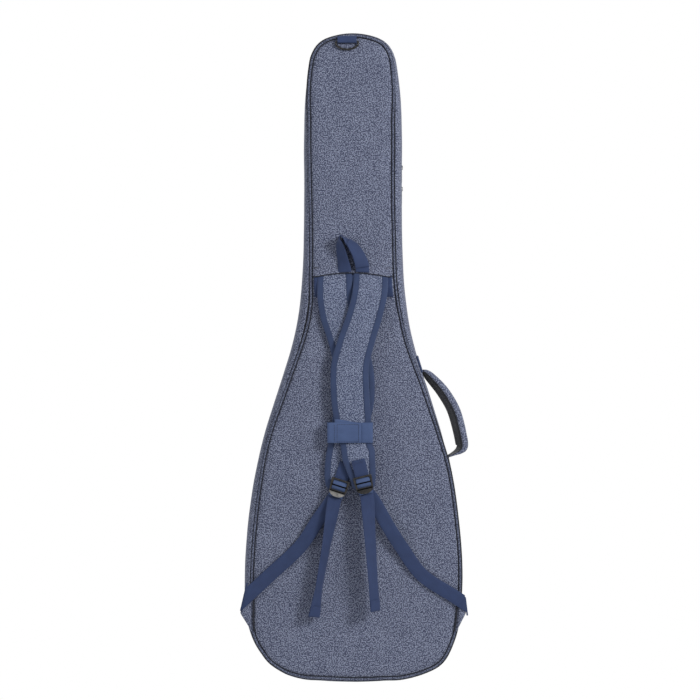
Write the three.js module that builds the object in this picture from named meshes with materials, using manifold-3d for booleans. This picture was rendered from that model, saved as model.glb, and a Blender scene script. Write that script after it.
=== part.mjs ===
// Padded gig bag for a bass guitar, drawn as it hangs by its grab loop.
// Millimetres, +Z up. The shoulder straps face -Y, the lid and its pockets face +Y and the carry
// handle is on +X. The bag is drawn with z = 0 at its lowest point and x = 0 on the neck's middle
// line, and the last lines hang it so that the origin is inside the crown of the grab loop.
import * as THREE from 'three';
import { mergeVertices } from 'three/addons/utils/BufferGeometryUtils.js';
import Module from 'manifold-3d';

const wasm = await Module();
wasm.setup();

// ---- Driving dimensions ----

const LENGTH = 1205;              // outside length, end to end
const NECK_HALF = 75;             // half width of the panels along the neck
const BOUT_HALF = 185;            // half width of the panels at the widest place
const DEPTH = 90;                 // from the back seam to the front seam
const BULGE = 16;                 // how far the gusset swells past its seams
const BOUT_HEIGHT = 169;          // height of the widest place
const WAIST_HEIGHT = 518;         // height where the side leans most
const WAIST_LEAN = 0.333;         // sideways run for each millimetre up at the waist
const SHOULDER_HEIGHT = 857;      // height where the side meets the straight neck
const HEAD_TAPER = 169;           // length of the taper at the top of the neck
const STATIONS = [7, 6, 6, 2, 2, 4, 3]; // steps along each curve of the half outline

const SKIN = 1.5;                 // outer fabric with its backing
const FOAM = 14;                  // padding of the panels
const GUSSET_FOAM_INNER = 4;      // how far outside the seam the gusset padding starts
const LINING = 1;                 // inner fabric
const GAP = 0.3;                  // clearance between pieces that touch
const PIPING_RADIUS = 1.75;
const PIPING_OUT = 0.2;           // its middle, in front of the seam plane

const ZIP_PLANE = 22;             // depth of the main zipper's middle
const ZIP_HALF = 6;               // half width of the zipper between the two gussets
const TAPE = 1.2;                 // zipper tape thickness
const TAPE_OFFSET = 10.2;         // inside of the tape under its coil, outside the seam line
const TAPE_EDGE_OFFSET = 12.4;    // and along the edge that is sewn to the gusset
const COIL_RADIUS = 1.6;
const HINGE_LOW = 150;            // the stretch of side where the lid is sewn on, not zipped
const HINGE_HIGH = 400;

const WEBBING = 1.5;              // webbing thickness
const STRAP_WIDTH = 25;           // webbing of the straps, loops and tails
const KEEPER_WIDTH = 37;
const BAND_HEIGHT = 50;           // anchor band under the strap tops
const STRAP_SEAM = 754;           // height of the seam across the back that takes the strap tops
const PAD = 9;                    // shoulder pad thickness
const PAD_TOP = 3;                // thickness where a pad goes into the seam
const PAD_RAMP = 38;              // length over which a pad reaches its full thickness
const TAB_RISE_FROM = 309;        // where the right pad starts to rise over the left lock's tab
const TAB_RISE_TO = 338;
const BINDING = 1.7;              // binding tape round a pad's edge

// Pad middle lines: distance below the seam, sideways place, half width over the binding
const LEFT_PAD_LINE = [
  [2.5, -33.5, 31], [14, -33.4, 31.2], [26, -33.3, 31.5], [47, -32.5, 32], [83, -24.8, 33.5],
  [111, -14.7, 34.5], [138, -6, 35], [184, 3, 35], [230, 3.4, 34.8], [266, -3.5, 34],
  [308, -14.4, 30.4], [340, -20.8, 29.5], [372, -28.5, 23], [391, -29.4, 17],
];
const RIGHT_PAD_LINE = [
  [2.5, 32.7, 31], [14, 32.2, 31.2], [26, 31.4, 31.5], [47, 28.2, 32], [83, 18.5, 33],
  [120, 6.3, 34], [157, -3.8, 34.3], [184, -6.5, 34.3], [230, -4.7, 34.6], [266, -1, 33],
  [307, 5, 29], [319, 8.5, 30], [340, 10.7, 29], [372, 17.3, 23], [391, 19.5, 17],
];
const KEEPER_LOW = 446.8;         // lower edge of the keeper band
const KEEPER_LEFT = -45.6;        // its inner sides
const KEEPER_RIGHT = 34.7;
const KEEPER_RETURN = -34;        // where the under layer of its front ends
const FLAP_END = 14.5;            // free end of its flap

const LOCK_BAR = 3;               // section of the ladder locks' bars
const LOCK_TOP = 13;              // lock outline above and below its middle bar
const LOCK_BOTTOM = -11;
const LOCK_LIP = -20;
const LOCK_HALF = 17.5;
const LOCK_LIP_HALF = 12;
const LEFT_LOCK = { x: -25.5, z: 367.5, lean: 17.8 };
const RIGHT_LOCK = { x: 18.9, z: 374.5, lean: -13.6 };
const TAB_LENGTH = 20;            // how far a tab reaches up the pad past the lock

// Lower webbings from the lock to the corner tab, x and z, and the ends of the free tails
const LEFT_WEBBING_ROUTE = [[-42, 336], [-64, 305], [-97, 256], [-152, 204], [-196, 163]];
const RIGHT_WEBBING_ROUTE = [[38, 340], [64, 294], [88, 256], [126, 204], [199, 156]];
const LEFT_TAIL_END = [-71.4, 129.2];
const RIGHT_TAIL_END = [40.1, 142];
const TAIL_CURL = 4;              // how far a tail's end stands out past its top
const TAIL_PLAY = 0.8;            // room for a tail's top to turn under the lock

const CORNER_TAB = 2.6;           // two layers of fabric
const CORNER_TAB_OUT = 23;        // how far a corner tab stands out of the seam
const CORNER_TAB_LOW = 98;
const CORNER_TAB_HIGH = 164;
const CORNER_TAB_TIP = 135;

const LOOP_CROWN = [-20, -60, 822]; // middle of the webbing at the crown of the grab loop
const LOOP_LEFT = -17.5;          // middles of its two ends in the seam
const LOOP_RIGHT = 16.3;

const RING_X = -11;               // D-ring at the top
const RING_HALF = 21;
const RING_DROP = 16;
const RING_WIRE = 1.5;
const RING_TAB_WIDTH = 35;

const HANDLE_TOP = 572;           // heights of the carry handle's two ends
const HANDLE_BOTTOM = 414;
const HANDLE_STAND = 46;          // how far its outside stands off the gusset
const HANDLE_THICK = 17;
const HANDLE_WIDTH = 38;
const HANDLE_DEPTH_PLACE = -5;    // its middle, across the gusset
const HANDLE_LINING = 2.5;
const PATCH_LENGTH = 31;

const CRADLE_LOW = 905;           // neck cradle inside the bag
const CRADLE_LENGTH = 110;
const CRADLE_TOP = 8;             // its face towards the lid
const CRADLE_GROOVE_HALF = 34;
const CRADLE_GROOVE_FLOOR = -12;
const NECK_STRAP_WIDTH = 38;
const END_BLOCK_TOP = 62;

const POCKET_LOW = 44;            // large pocket on the lid
const POCKET_HIGH = 505;
const POCKET_INSET = 20;
const POCKET_DEPTH = 22;
const SMALL_POCKET_LOW = 640;
const SMALL_POCKET_HIGH = 905;
const SMALL_POCKET_INSET = 14;
const SMALL_POCKET_DEPTH = 12;
const POCKET_ZIP_LENGTH = 190;
const SMALL_ZIP_LENGTH = 92;
const POCKET_ZIP_WIDTH = 10;

const SLIDER_LENGTH = 16;
const SLIDER_WIDTH = 8;
const SLIDER_PLATE = 1.8;
const PULL_LENGTH = 28;
const PULL_WIDTH = 9;
const PULL_THICK = 1.6;
const UPPER_SLIDER = 957;         // rest heights of the main zipper's two sliders
const LOWER_SLIDER = 917;

const FABRIC = { color: 0x61677f, roughness: 0.95, metalness: 0 };
const WEBBING_NAVY = { color: 0x3b4a66, roughness: 0.85, metalness: 0 };
const PIPING_NAVY = { color: 0x2a3248, roughness: 0.8, metalness: 0 };
const FOAM_GREY = { color: 0x3a3d44, roughness: 1, metalness: 0 };
const LINING_GREY = { color: 0x6f747c, roughness: 0.9, metalness: 0 };
const BLACK_CLOTH = { color: 0x24262b, roughness: 0.95, metalness: 0 };
const ZIP_BLACK = { color: 0x1b1d22, roughness: 0.6, metalness: 0 };
const DARK_METAL = { color: 0x4a443c, roughness: 0.35, metalness: 1 };

// ---- Helpers ----

const bag = new THREE.Group();
const v2 = (x, y) => new THREE.Vector2(x, y);
const v3 = (x, y, z) => new THREE.Vector3(x, y, z);
const degrees = THREE.MathUtils.degToRad;

function add(name, geometry, look, group = bag) {
  const mesh = new THREE.Mesh(geometry, new THREE.MeshStandardMaterial(look));
  mesh.name = name;
  group.add(mesh);
  return mesh;
}

function bare(geometry) {
  geometry.deleteAttribute('normal');
  geometry.deleteAttribute('uv');
  return mergeVertices(geometry, 1e-4);
}

function solid(geometry) {
  const clean = bare(geometry);
  return new wasm.Manifold(new wasm.Mesh({
    numProp: 3,
    vertProperties: new Float32Array(clean.attributes.position.array),
    triVerts: new Uint32Array(clean.index.array),
  }));
}

function geometryOf(manifold) {
  const mesh = manifold.getMesh();
  const geometry = new THREE.BufferGeometry();
  geometry.setAttribute('position', new THREE.BufferAttribute(new Float32Array(mesh.vertProperties), 3));
  geometry.setIndex(new THREE.BufferAttribute(new Uint32Array(mesh.triVerts), 1));
  return geometry;
}

const join = (...parts) => geometryOf(parts.map(solid).reduce((whole, part) => whole.add(part)));
const cut = (whole, ...tools) => geometryOf(tools.map(solid).reduce((left, tool) => left.subtract(tool), solid(whole)));

function boxBetween(low, high) {
  const size = high.clone().sub(low);
  const box = new THREE.BoxGeometry(size.x, size.y, size.z);
  const middle = low.clone().add(high).multiplyScalar(0.5);
  return box.translate(middle.x, middle.y, middle.z);
}

// Turns a mesh the right way out, whichever way its rings were listed.
function facingOut(positions, faces) {
  let volume = 0;
  for (const [a, b, c] of faces) {
    volume += positions[a].dot(positions[b].clone().cross(positions[c]));
  }
  const turned = volume < 0 ? faces.map(([a, b, c]) => [a, c, b]) : faces;
  const geometry = new THREE.BufferGeometry();
  geometry.setAttribute('position', new THREE.Float32BufferAttribute(positions.flatMap((p) => p.toArray()), 3));
  geometry.setIndex(turned.flat());
  return geometry;
}

// Faces that close a flat ring of points, in the ring's own direction.
function capFaces(ring) {
  const normal = v3(0, 0, 0);
  ring.forEach((p, i) => normal.add(p.clone().cross(ring[(i + 1) % ring.length])));
  const u = ring[1].clone().sub(ring[0]).normalize();
  const v = normal.normalize().clone().cross(u);
  const contour = ring.map((p) => v2(p.dot(u), p.dot(v)));
  return THREE.ShapeUtils.triangulateShape(contour, []).map(([a, b, c]) => (
    THREE.ShapeUtils.area([contour[a], contour[b], contour[c]]) > 0 ? [a, b, c] : [a, c, b]
  ));
}

// Skins a row of rings, each the same closed loop of points, and closes the ends of an open row.
function loft(rings, closed = false) {
  const count = rings[0].length;
  const positions = rings.flat();
  const faces = [];
  const spans = closed ? rings.length : rings.length - 1;
  for (let i = 0; i < spans; i += 1) {
    const here = i * count;
    const next = ((i + 1) % rings.length) * count;
    for (let j = 0; j < count; j += 1) {
      const k = (j + 1) % count;
      faces.push([here + j, next + j, next + k], [here + j, next + k, here + k]);
    }
  }
  if (!closed) {
    const last = (rings.length - 1) * count;
    faces.push(...capFaces(rings[0]));
    faces.push(...capFaces(rings.at(-1)).map(([a, b, c]) => [last + a, last + c, last + b]));
  }
  return facingOut(positions, faces);
}

// A flat strip that follows points, lying across the direction given for each of them.
function ribbon(points, across, width, thickness) {
  const rings = points.map((point, i) => {
    const before = points[Math.max(i - 1, 0)];
    const after = points[Math.min(i + 1, points.length - 1)];
    const along = after.clone().sub(before).normalize();
    const side = across[i].clone().addScaledVector(along, -across[i].dot(along)).normalize();
    const normal = along.clone().cross(side);
    return [[1, 1], [1, -1], [-1, -1], [-1, 1]].map(([a, b]) => point.clone()
      .addScaledVector(side, a * width / 2)
      .addScaledVector(normal, b * thickness / 2));
  });
  return loft(rings);
}

// A plate whose outline lies in X and Z and whose thickness runs in Y.
function plate(outline, nearY, farY, holes = []) {
  const shape = new THREE.Shape(outline);
  shape.holes = holes.map((hole) => new THREE.Path(hole));
  const geometry = new THREE.ExtrudeGeometry(shape, { depth: farY - nearY, bevelEnabled: false });
  return geometry.rotateX(Math.PI / 2).translate(0, farY, 0);
}

// A bar whose outline lies in Y and Z and whose length runs in X, centred on x = 0.
function bar(outline, length, holes = []) {
  const shape = new THREE.Shape(outline);
  shape.holes = holes.map((hole) => new THREE.Path(hole));
  const geometry = new THREE.ExtrudeGeometry(shape, { depth: length, bevelEnabled: false });
  return geometry.rotateX(Math.PI / 2).rotateZ(Math.PI / 2).translate(-length / 2, 0, 0);
}

const smooth = (t) => {
  const s = THREE.MathUtils.clamp(t, 0, 1);
  return s * s * (3 - 2 * s);
};

// ---- The outline of the seams ----

const bottomZ = BULGE;
const topZ = LENGTH - BULGE;
const waistX = (NECK_HALF + BOUT_HALF) / 2;
const taperZ = topZ - HEAD_TAPER;
const headX = NECK_HALF - 9.5;
const headZ = topZ - 51;

const halfCurves = [
  new THREE.CubicBezierCurve(v2(0, bottomZ), v2(BOUT_HALF - 25, bottomZ),
    v2(BOUT_HALF, bottomZ + 72), v2(BOUT_HALF, BOUT_HEIGHT)),
  new THREE.CubicBezierCurve(v2(BOUT_HALF, BOUT_HEIGHT), v2(BOUT_HALF, BOUT_HEIGHT + 136),
    v2(waistX + 108 * WAIST_LEAN, WAIST_HEIGHT - 108), v2(waistX, WAIST_HEIGHT)),
  new THREE.CubicBezierCurve(v2(waistX, WAIST_HEIGHT),
    v2(waistX - 116 * WAIST_LEAN, WAIST_HEIGHT + 116),
    v2(NECK_HALF + 2, WAIST_HEIGHT + 152), v2(NECK_HALF, SHOULDER_HEIGHT)),
  new THREE.LineCurve(v2(NECK_HALF, SHOULDER_HEIGHT), v2(NECK_HALF, taperZ)),
  new THREE.CubicBezierCurve(v2(NECK_HALF, taperZ), v2(NECK_HALF, taperZ + 50),
    v2(headX + 5, headZ - 30), v2(headX, headZ)),
  new THREE.CubicBezierCurve(v2(headX, headZ), v2(headX - 3.5, headZ + 20),
    v2(headX - 9.5, topZ - 18), v2(headX - 23.5, topZ - 11)),
  new THREE.CubicBezierCurve(v2(headX - 23.5, topZ - 11), v2(headX - 37.5, topZ - 4),
    v2(15, topZ), v2(0, topZ)),
];

// Points of the right half from the bottom to the top, each with its outward direction.
const halfStations = [];
halfCurves.forEach((curve, index) => {
  const steps = STATIONS[index];
  for (let i = index === 0 ? 0 : 1; i <= steps; i += 1) {
    const point = curve.getPoint(i / steps);
    const tangent = curve.getTangent(i / steps);
    halfStations.push({ x: point.x, z: point.y, nx: tangent.y, nz: -tangent.x });
  }
});
const stations = [
  ...halfStations,
  ...halfStations.slice(1, -1).reverse().map((s) => ({ x: -s.x, z: s.z, nx: -s.nx, nz: s.nz })),
];

const ringPoint = (s, [y, out]) => v3(s.x + s.nx * out, y, s.z + s.nz * out);

// A strip that follows the whole seam, or the listed stations, with a section of depth and offset.
function seamStrip(section, list = stations, closed = true) {
  return loft(list.map((s) => section.map((p) => ringPoint(s, p))), closed);
}

const halfOutline = (offset) => halfStations.map((s) => v2(Math.max(s.x + s.nx * offset, 0), s.z + s.nz * offset));

// Half width of the offset outline at a height.
function halfWidthAt(offset, z) {
  const line = halfOutline(offset);
  for (let i = 1; i < line.length; i += 1) {
    if (z <= line[i].y) {
      const share = (z - line[i - 1].y) / (line[i].y - line[i - 1].y);
      return THREE.MathUtils.lerp(line[i - 1].x, line[i].x, share);
    }
  }
  return 0;
}

// The offset outline between two heights, as a closed list of points.
function outlineBetween(offset, low = -Infinity, high = Infinity) {
  const right = halfOutline(offset).filter((p) => p.y > low + 0.5 && p.y < high - 0.5);
  if (low > -Infinity) right.unshift(v2(halfWidthAt(offset, low), low));
  if (high < Infinity) right.push(v2(halfWidthAt(offset, high), high));
  const left = right.filter((p) => p.x > 0).map((p) => v2(-p.x, p.y)).reverse();
  return [...right, ...left];
}

const seamY = DEPTH / 2;
const skinY = seamY + SKIN;
const swell = (y) => BULGE * Math.cbrt(Math.max(1 - Math.abs(y / seamY) ** 3, 0));

// A gusset's skin between two depths: its outside follows the swell, and at the seam it meets the piping.
function gussetSection(depths, seamDepth) {
  const outer = depths.map((y) => [y, swell(y)]);
  const inner = depths.map((y) => [y, y === seamDepth ? PIPING_RADIUS * 2 : swell(y) - SKIN]);
  return [...outer, ...inner.reverse()];
}

// A gusset's padding between two depths, inside its skin.
function gussetFoamSection(depths) {
  const outer = depths.map((y) => [y, swell(y) - SKIN - GAP]);
  return [...outer, [depths.at(-1), GUSSET_FOAM_INNER], [depths[0], GUSSET_FOAM_INNER]];
}

function pipingSection(side) {
  const middle = side * (seamY + PIPING_OUT);
  return Array.from({ length: 6 }, (_, i) => {
    const turn = i * Math.PI / 3;
    return [middle + PIPING_RADIUS * Math.sin(turn), PIPING_RADIUS + PIPING_RADIUS * Math.cos(turn)];
  });
}

// ---- The shell: back panel, gusset and what is sewn to them ----

const panelEdge = -GAP;
add('back_panel_upper', plate(outlineBetween(panelEdge, STRAP_SEAM + GAP / 2), -skinY, -seamY), FABRIC);
add('back_panel_lower', plate(outlineBetween(panelEdge, -Infinity, STRAP_SEAM - GAP / 2), -skinY, -seamY), FABRIC);

const foamNear = seamY - GAP;
const foamFar = foamNear - FOAM;
const liningNear = foamFar - GAP;
const liningFar = liningNear - LINING;
add('back_foam', plate(outlineBetween(-1), -foamNear, -foamFar), FOAM_GREY);
add('back_lining', plate(outlineBetween(0), -liningNear, -liningFar), LINING_GREY);
add('back_piping', seamStrip(pipingSection(-1)), PIPING_NAVY);

const rearDepths = [-seamY + 0.4, -seamY + 3, -seamY + 9, -seamY + 24, ZIP_PLANE - ZIP_HALF];
add('gusset', seamStrip(gussetSection(rearDepths, rearDepths[0])), FABRIC);
const rearFoamDepths = [-seamY + 4, -seamY + 10, -seamY + 24, ZIP_PLANE - ZIP_HALF - 2];
add('gusset_foam', seamStrip(gussetFoamSection(rearFoamDepths)), FOAM_GREY);
const gussetLiningOut = GUSSET_FOAM_INNER - GAP;
add('gusset_lining', seamStrip([
  [-liningFar + GAP, gussetLiningOut - LINING], [-liningFar + GAP, gussetLiningOut],
  [ZIP_PLANE - ZIP_HALF - 2, gussetLiningOut], [ZIP_PLANE - ZIP_HALF - 2, gussetLiningOut - LINING],
]), LINING_GREY);

// The zipper runs round the bag, apart from the stretch of the left side where the lid is sewn on.
const onHinge = (s) => s.x < -NECK_HALF - BULGE && s.z > HINGE_LOW && s.z < HINGE_HIGH;
const hingeStart = stations.findIndex(onHinge);
const turned = [...stations.slice(hingeStart), ...stations.slice(0, hingeStart)];
const hingeCount = turned.filter(onHinge).length;
const hingeStations = turned.slice(0, hingeCount);
const zippedStations = turned.slice(hingeCount);

// One side of the zipper: its coil lies on the middle plane and its tape rises to the gusset's edge.
function zipperSection(side) {
  const coilY = ZIP_PLANE + side * GAP;
  const middle = TAPE_OFFSET + TAPE / 2;
  return [
    [coilY, middle], [coilY, middle + COIL_RADIUS], [coilY + side * COIL_RADIUS, middle + COIL_RADIUS],
    [coilY + side * COIL_RADIUS * 1.4, TAPE_OFFSET + TAPE],
    [ZIP_PLANE + side * (ZIP_HALF - GAP), TAPE_EDGE_OFFSET + TAPE],
    [ZIP_PLANE + side * (ZIP_HALF - GAP), TAPE_EDGE_OFFSET],
    [coilY + side * COIL_RADIUS * 1.4, TAPE_OFFSET],
    [coilY + side * COIL_RADIUS, middle - COIL_RADIUS], [coilY, middle - COIL_RADIUS],
  ];
}
add('zipper_rear_half', seamStrip(zipperSection(-1), zippedStations, false), ZIP_BLACK);
add('hinge_fabric', seamStrip([
  [ZIP_PLANE - ZIP_HALF + GAP, TAPE_EDGE_OFFSET], [ZIP_PLANE - ZIP_HALF + GAP, TAPE_EDGE_OFFSET + TAPE],
  [ZIP_PLANE - GAP, TAPE_EDGE_OFFSET + TAPE], [ZIP_PLANE - GAP, TAPE_EDGE_OFFSET],
], hingeStations, false), FABRIC);

const faceY = -skinY - GAP;
const bandHalf = Math.min(halfWidthAt(0, STRAP_SEAM), halfWidthAt(0, STRAP_SEAM - BAND_HEIGHT)) - 1;
add('strap_anchor_band', boxBetween(
  v3(-bandHalf, faceY - WEBBING, STRAP_SEAM - 1 - BAND_HEIGHT), v3(bandHalf, faceY, STRAP_SEAM - 1),
), WEBBING_NAVY);

// The grab loop: its webbing is flat in the seam and turns edge on as it rises to its crown.
const crown = v3(...LOOP_CROWN);
const loopBaseY = faceY - WEBBING / 2 - 0.1;
const loopPoints = [
  v3(LOOP_LEFT, loopBaseY, STRAP_SEAM + 1.5), v3(LOOP_LEFT, loopBaseY, STRAP_SEAM + 8),
  v3(LOOP_LEFT - 1, loopBaseY - 3, STRAP_SEAM + 19),
  v3(LOOP_LEFT - 4, crown.y + 5, STRAP_SEAM + 38), v3(crown.x - 6.5, crown.y, crown.z - 13),
  v3(crown.x - 5, crown.y, crown.z - 4), v3(crown.x, crown.y, crown.z),
  v3(crown.x + 5.5, crown.y, crown.z - 4), v3(crown.x + 10, crown.y, crown.z - 13),
  v3(2, crown.y + 4, STRAP_SEAM + 36), v3(LOOP_RIGHT - 3, loopBaseY - 3, STRAP_SEAM + 20),
  v3(LOOP_RIGHT, loopBaseY - 0.7, STRAP_SEAM + 9), v3(LOOP_RIGHT, loopBaseY, STRAP_SEAM + 1.5),
];
const loopTwist = [0, 0, 0, 30, 75, 90, 90, 90, 105, 150, 180, 180, 180];
const loopAcross = loopTwist.map((turn) => v3(Math.cos(degrees(turn)), Math.sin(degrees(turn)), 0));
add('grab_loop', ribbon(loopPoints, loopAcross, STRAP_WIDTH, WEBBING), WEBBING_NAVY);

// The D-ring and the webbing tab that folds round its straight bar.
const ringBarY = faceY - RING_WIRE - GAP - WEBBING;
const ringBarZ = topZ - 9;
const circle = (y, z, radius, count) => Array.from({ length: count }, (_, i) => v2(
  y + radius * Math.cos(i * 2 * Math.PI / count), z + radius * Math.sin(i * 2 * Math.PI / count),
));
const tabOut = RING_WIRE + GAP + WEBBING;
const tabNearY = -(seamY + SKIN + GAP + 0.2);
const ringTab = bar([
  v2(ringBarY - tabOut, ringBarZ), v2(ringBarY - tabOut * 0.7, ringBarZ - tabOut * 0.7),
  v2(ringBarY, ringBarZ - tabOut), v2(ringBarY + tabOut * 0.7, ringBarZ - tabOut * 0.7),
  v2(ringBarY + tabOut, ringBarZ), v2(tabNearY, ringBarZ + tabOut + 1),
  v2(tabNearY, topZ + 1), v2(tabNearY - 2 * WEBBING, topZ + 1),
], RING_TAB_WIDTH, [circle(ringBarY, ringBarZ, RING_WIRE + GAP, 8)]);
add('ring_tab', ringTab.translate(RING_X, 0, 0), WEBBING_NAVY);

const ringPath = [v2(-RING_HALF, 0), v2(-RING_HALF / 2, 0), v2(RING_HALF / 2, 0), v2(RING_HALF, 0)];
for (let i = 1; i < 10; i += 1) {
  const turn = i * Math.PI / 10;
  ringPath.push(v2((RING_HALF + 0.8) * Math.cos(turn), -RING_DROP * Math.sin(turn) - 1));
}
const ringRings = ringPath.map((point, i) => {
  const before = ringPath[(i + ringPath.length - 1) % ringPath.length];
  const after = ringPath[(i + 1) % ringPath.length];
  const along = after.clone().sub(before).normalize();
  return circle(0, 0, RING_WIRE, 8).map((p) => v3(point.x + along.y * p.x, p.y, point.y - along.x * p.x));
});
add('d_ring', loft(ringRings, true).translate(RING_X, ringBarY, ringBarZ), DARK_METAL);

// Corner tabs: folded triangles of fabric sewn into the back seam.
for (const [side, sign] of [['left', -1], ['right', 1]]) {
  const edge = (z) => sign * (halfWidthAt(0, z) - 1.5);
  const tip = sign * (halfWidthAt(0, CORNER_TAB_TIP) + CORNER_TAB_OUT);
  const outline = [
    v2(edge(CORNER_TAB_LOW), CORNER_TAB_LOW), v2(tip, CORNER_TAB_TIP - 4),
    v2(tip, CORNER_TAB_TIP + 4), v2(edge(CORNER_TAB_HIGH), CORNER_TAB_HIGH),
  ];
  add(`corner_tab_${side}`, plate(sign > 0 ? outline : outline.reverse(), tabNearY - CORNER_TAB, tabNearY), FABRIC);
}

// ---- The carry handle on the right side ----

// A point on the right side of the bag at a height and a distance outside the seam.
function sidePoint(z, out) {
  const index = Math.max(halfStations.findIndex((s) => s.z >= z), 1);
  const [a, b] = [halfStations[index - 1], halfStations[index]];
  const share = (z - a.z) / (b.z - a.z);
  const lerp = (p, q) => THREE.MathUtils.lerp(p, q, share);
  const normal = v3(lerp(a.nx, b.nx), 0, lerp(a.nz, b.nz)).normalize();
  return v3(lerp(a.x, b.x), 0, z).addScaledVector(normal, out);
}

function sideRibbon(low, high, out, width, thickness) {
  const points = [0, 0.5, 1].map((t) => sidePoint(THREE.MathUtils.lerp(low, high, t), out));
  points.forEach((p) => p.setY(HANDLE_DEPTH_PLACE));
  return ribbon(points, points.map(() => v3(0, 1, 0)), width, thickness);
}
const patchOut = BULGE + GAP + WEBBING / 2 + 0.15;
add('handle_patch_upper', sideRibbon(HANDLE_TOP + 1, HANDLE_TOP + PATCH_LENGTH, patchOut, HANDLE_WIDTH, WEBBING),
  WEBBING_NAVY);
add('handle_patch_lower', sideRibbon(HANDLE_BOTTOM - PATCH_LENGTH, HANDLE_BOTTOM - 1, patchOut, HANDLE_WIDTH, WEBBING),
  WEBBING_NAVY);

const handleLow = sidePoint(HANDLE_BOTTOM, BULGE + 2).setY(HANDLE_DEPTH_PLACE);
const handleHigh = sidePoint(HANDLE_TOP, BULGE + 2).setY(HANDLE_DEPTH_PLACE);
const handleLine = handleHigh.clone().sub(handleLow);
const handleOut = v3(handleLine.z, 0, -handleLine.x).normalize();
const handleShape = [
  [0, 0.3, 3], [0.025, 15, 9], [0.09, 30, HANDLE_THICK], [0.28, HANDLE_STAND - 9, HANDLE_THICK],
  [0.5, HANDLE_STAND - 9, HANDLE_THICK], [0.72, HANDLE_STAND - 19, HANDLE_THICK * 0.94],
  [0.88, HANDLE_STAND - 32, HANDLE_THICK * 0.7], [1, 0.3, 3],
];
const handlePoints = handleShape.map(([share, out]) => handleLow.clone()
  .addScaledVector(handleLine, share).addScaledVector(handleOut, out));

// Rounded ring of the handle at one of its points, between two shares of its thickness.
function handleRing(i, inner, outer) {
  const before = handlePoints[Math.max(i - 1, 0)];
  const after = handlePoints[Math.min(i + 1, handlePoints.length - 1)];
  const along = after.clone().sub(before).normalize();
  const outward = v3(along.z, 0, -along.x);
  const thick = handleShape[i][2];
  const half = HANDLE_WIDTH / 2;
  const section = [[-half, inner], [-half, (inner + outer) / 2], [-half * 0.72, outer],
    [half * 0.72, outer], [half, (inner + outer) / 2], [half, inner]];
  return section.map(([y, share]) => handlePoints[i].clone()
    .addScaledVector(outward, share * thick).add(v3(0, y, 0)));
}
const liningShare = -0.5 + HANDLE_LINING / HANDLE_THICK;
const handleIndices = handlePoints.map((_, i) => i);
add('carry_handle', loft(handleIndices.map((i) => handleRing(i, liningShare + 0.02, 0.5))), FABRIC);
add('handle_lining', loft(handleIndices.map((i) => handleRing(i, liningShare, -0.5))), BLACK_CLOTH);

// ---- Shoulder straps ----

// Back face and thickness of a pad at a distance below the seam.
const padBase = faceY - WEBBING - GAP;
const ramp = (drop) => smooth(drop / PAD_RAMP);
const leftPadY = (drop) => ({ back: padBase, thick: PAD_TOP + (PAD - PAD_TOP) * ramp(drop) });
const tabRise = (drop) => (2 * WEBBING + 2 * GAP) * smooth((drop - TAB_RISE_FROM) / (TAB_RISE_TO - TAB_RISE_FROM));
const rightPadY = (drop) => ({
  back: padBase - 0.4 - (PAD + 0.2) * ramp(drop * 1.15) - tabRise(drop),
  thick: leftPadY(drop).thick,
});

function padStations(line, depthAt) {
  return line.map(([drop, x, half]) => ({ x, half, z: STRAP_SEAM - drop, ...depthAt(drop) }));
}

function padGeometry(list) {
  return loft(list.map(({ x, half, z, back, thick }) => {
    const edge = half - BINDING - GAP;
    const bevel = thick / 4;
    return [[-edge, back - bevel], [-edge + 3, back], [edge - 3, back], [edge, back - bevel],
      [edge, back - thick + bevel], [edge - 3, back - thick], [-edge + 3, back - thick],
      [-edge, back - thick + bevel]].map(([dx, y]) => v3(x + dx, y, z));
  }));
}

// The binding follows a pad down one side, round its end and up the other side.
function bindingGeometry(list) {
  const last = list.at(-1);
  const end = { ...last, z: last.z - BINDING - GAP };
  const path = [
    ...list.map((s) => ({ ...s, px: s.x - s.half, out: -1, pz: s.z })),
    { ...end, px: last.x - last.half, pz: end.z }, { ...end, px: last.x + last.half, pz: end.z },
    ...list.map((s) => ({ ...s, px: s.x + s.half, out: 1, pz: s.z })).reverse(),
  ];
  return loft(path.map((s) => {
    const inX = s.px - Math.sign(s.px - s.x) * BINDING;
    const inZ = s.out ? s.pz : s.pz + BINDING;
    const near = s.back - s.thick * 0.2;
    const far = s.back - s.thick * 0.8;
    return [v3(s.px, near, s.pz), v3(s.px, far, s.pz), v3(inX, far, inZ), v3(inX, near, inZ)];
  }));
}

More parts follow.
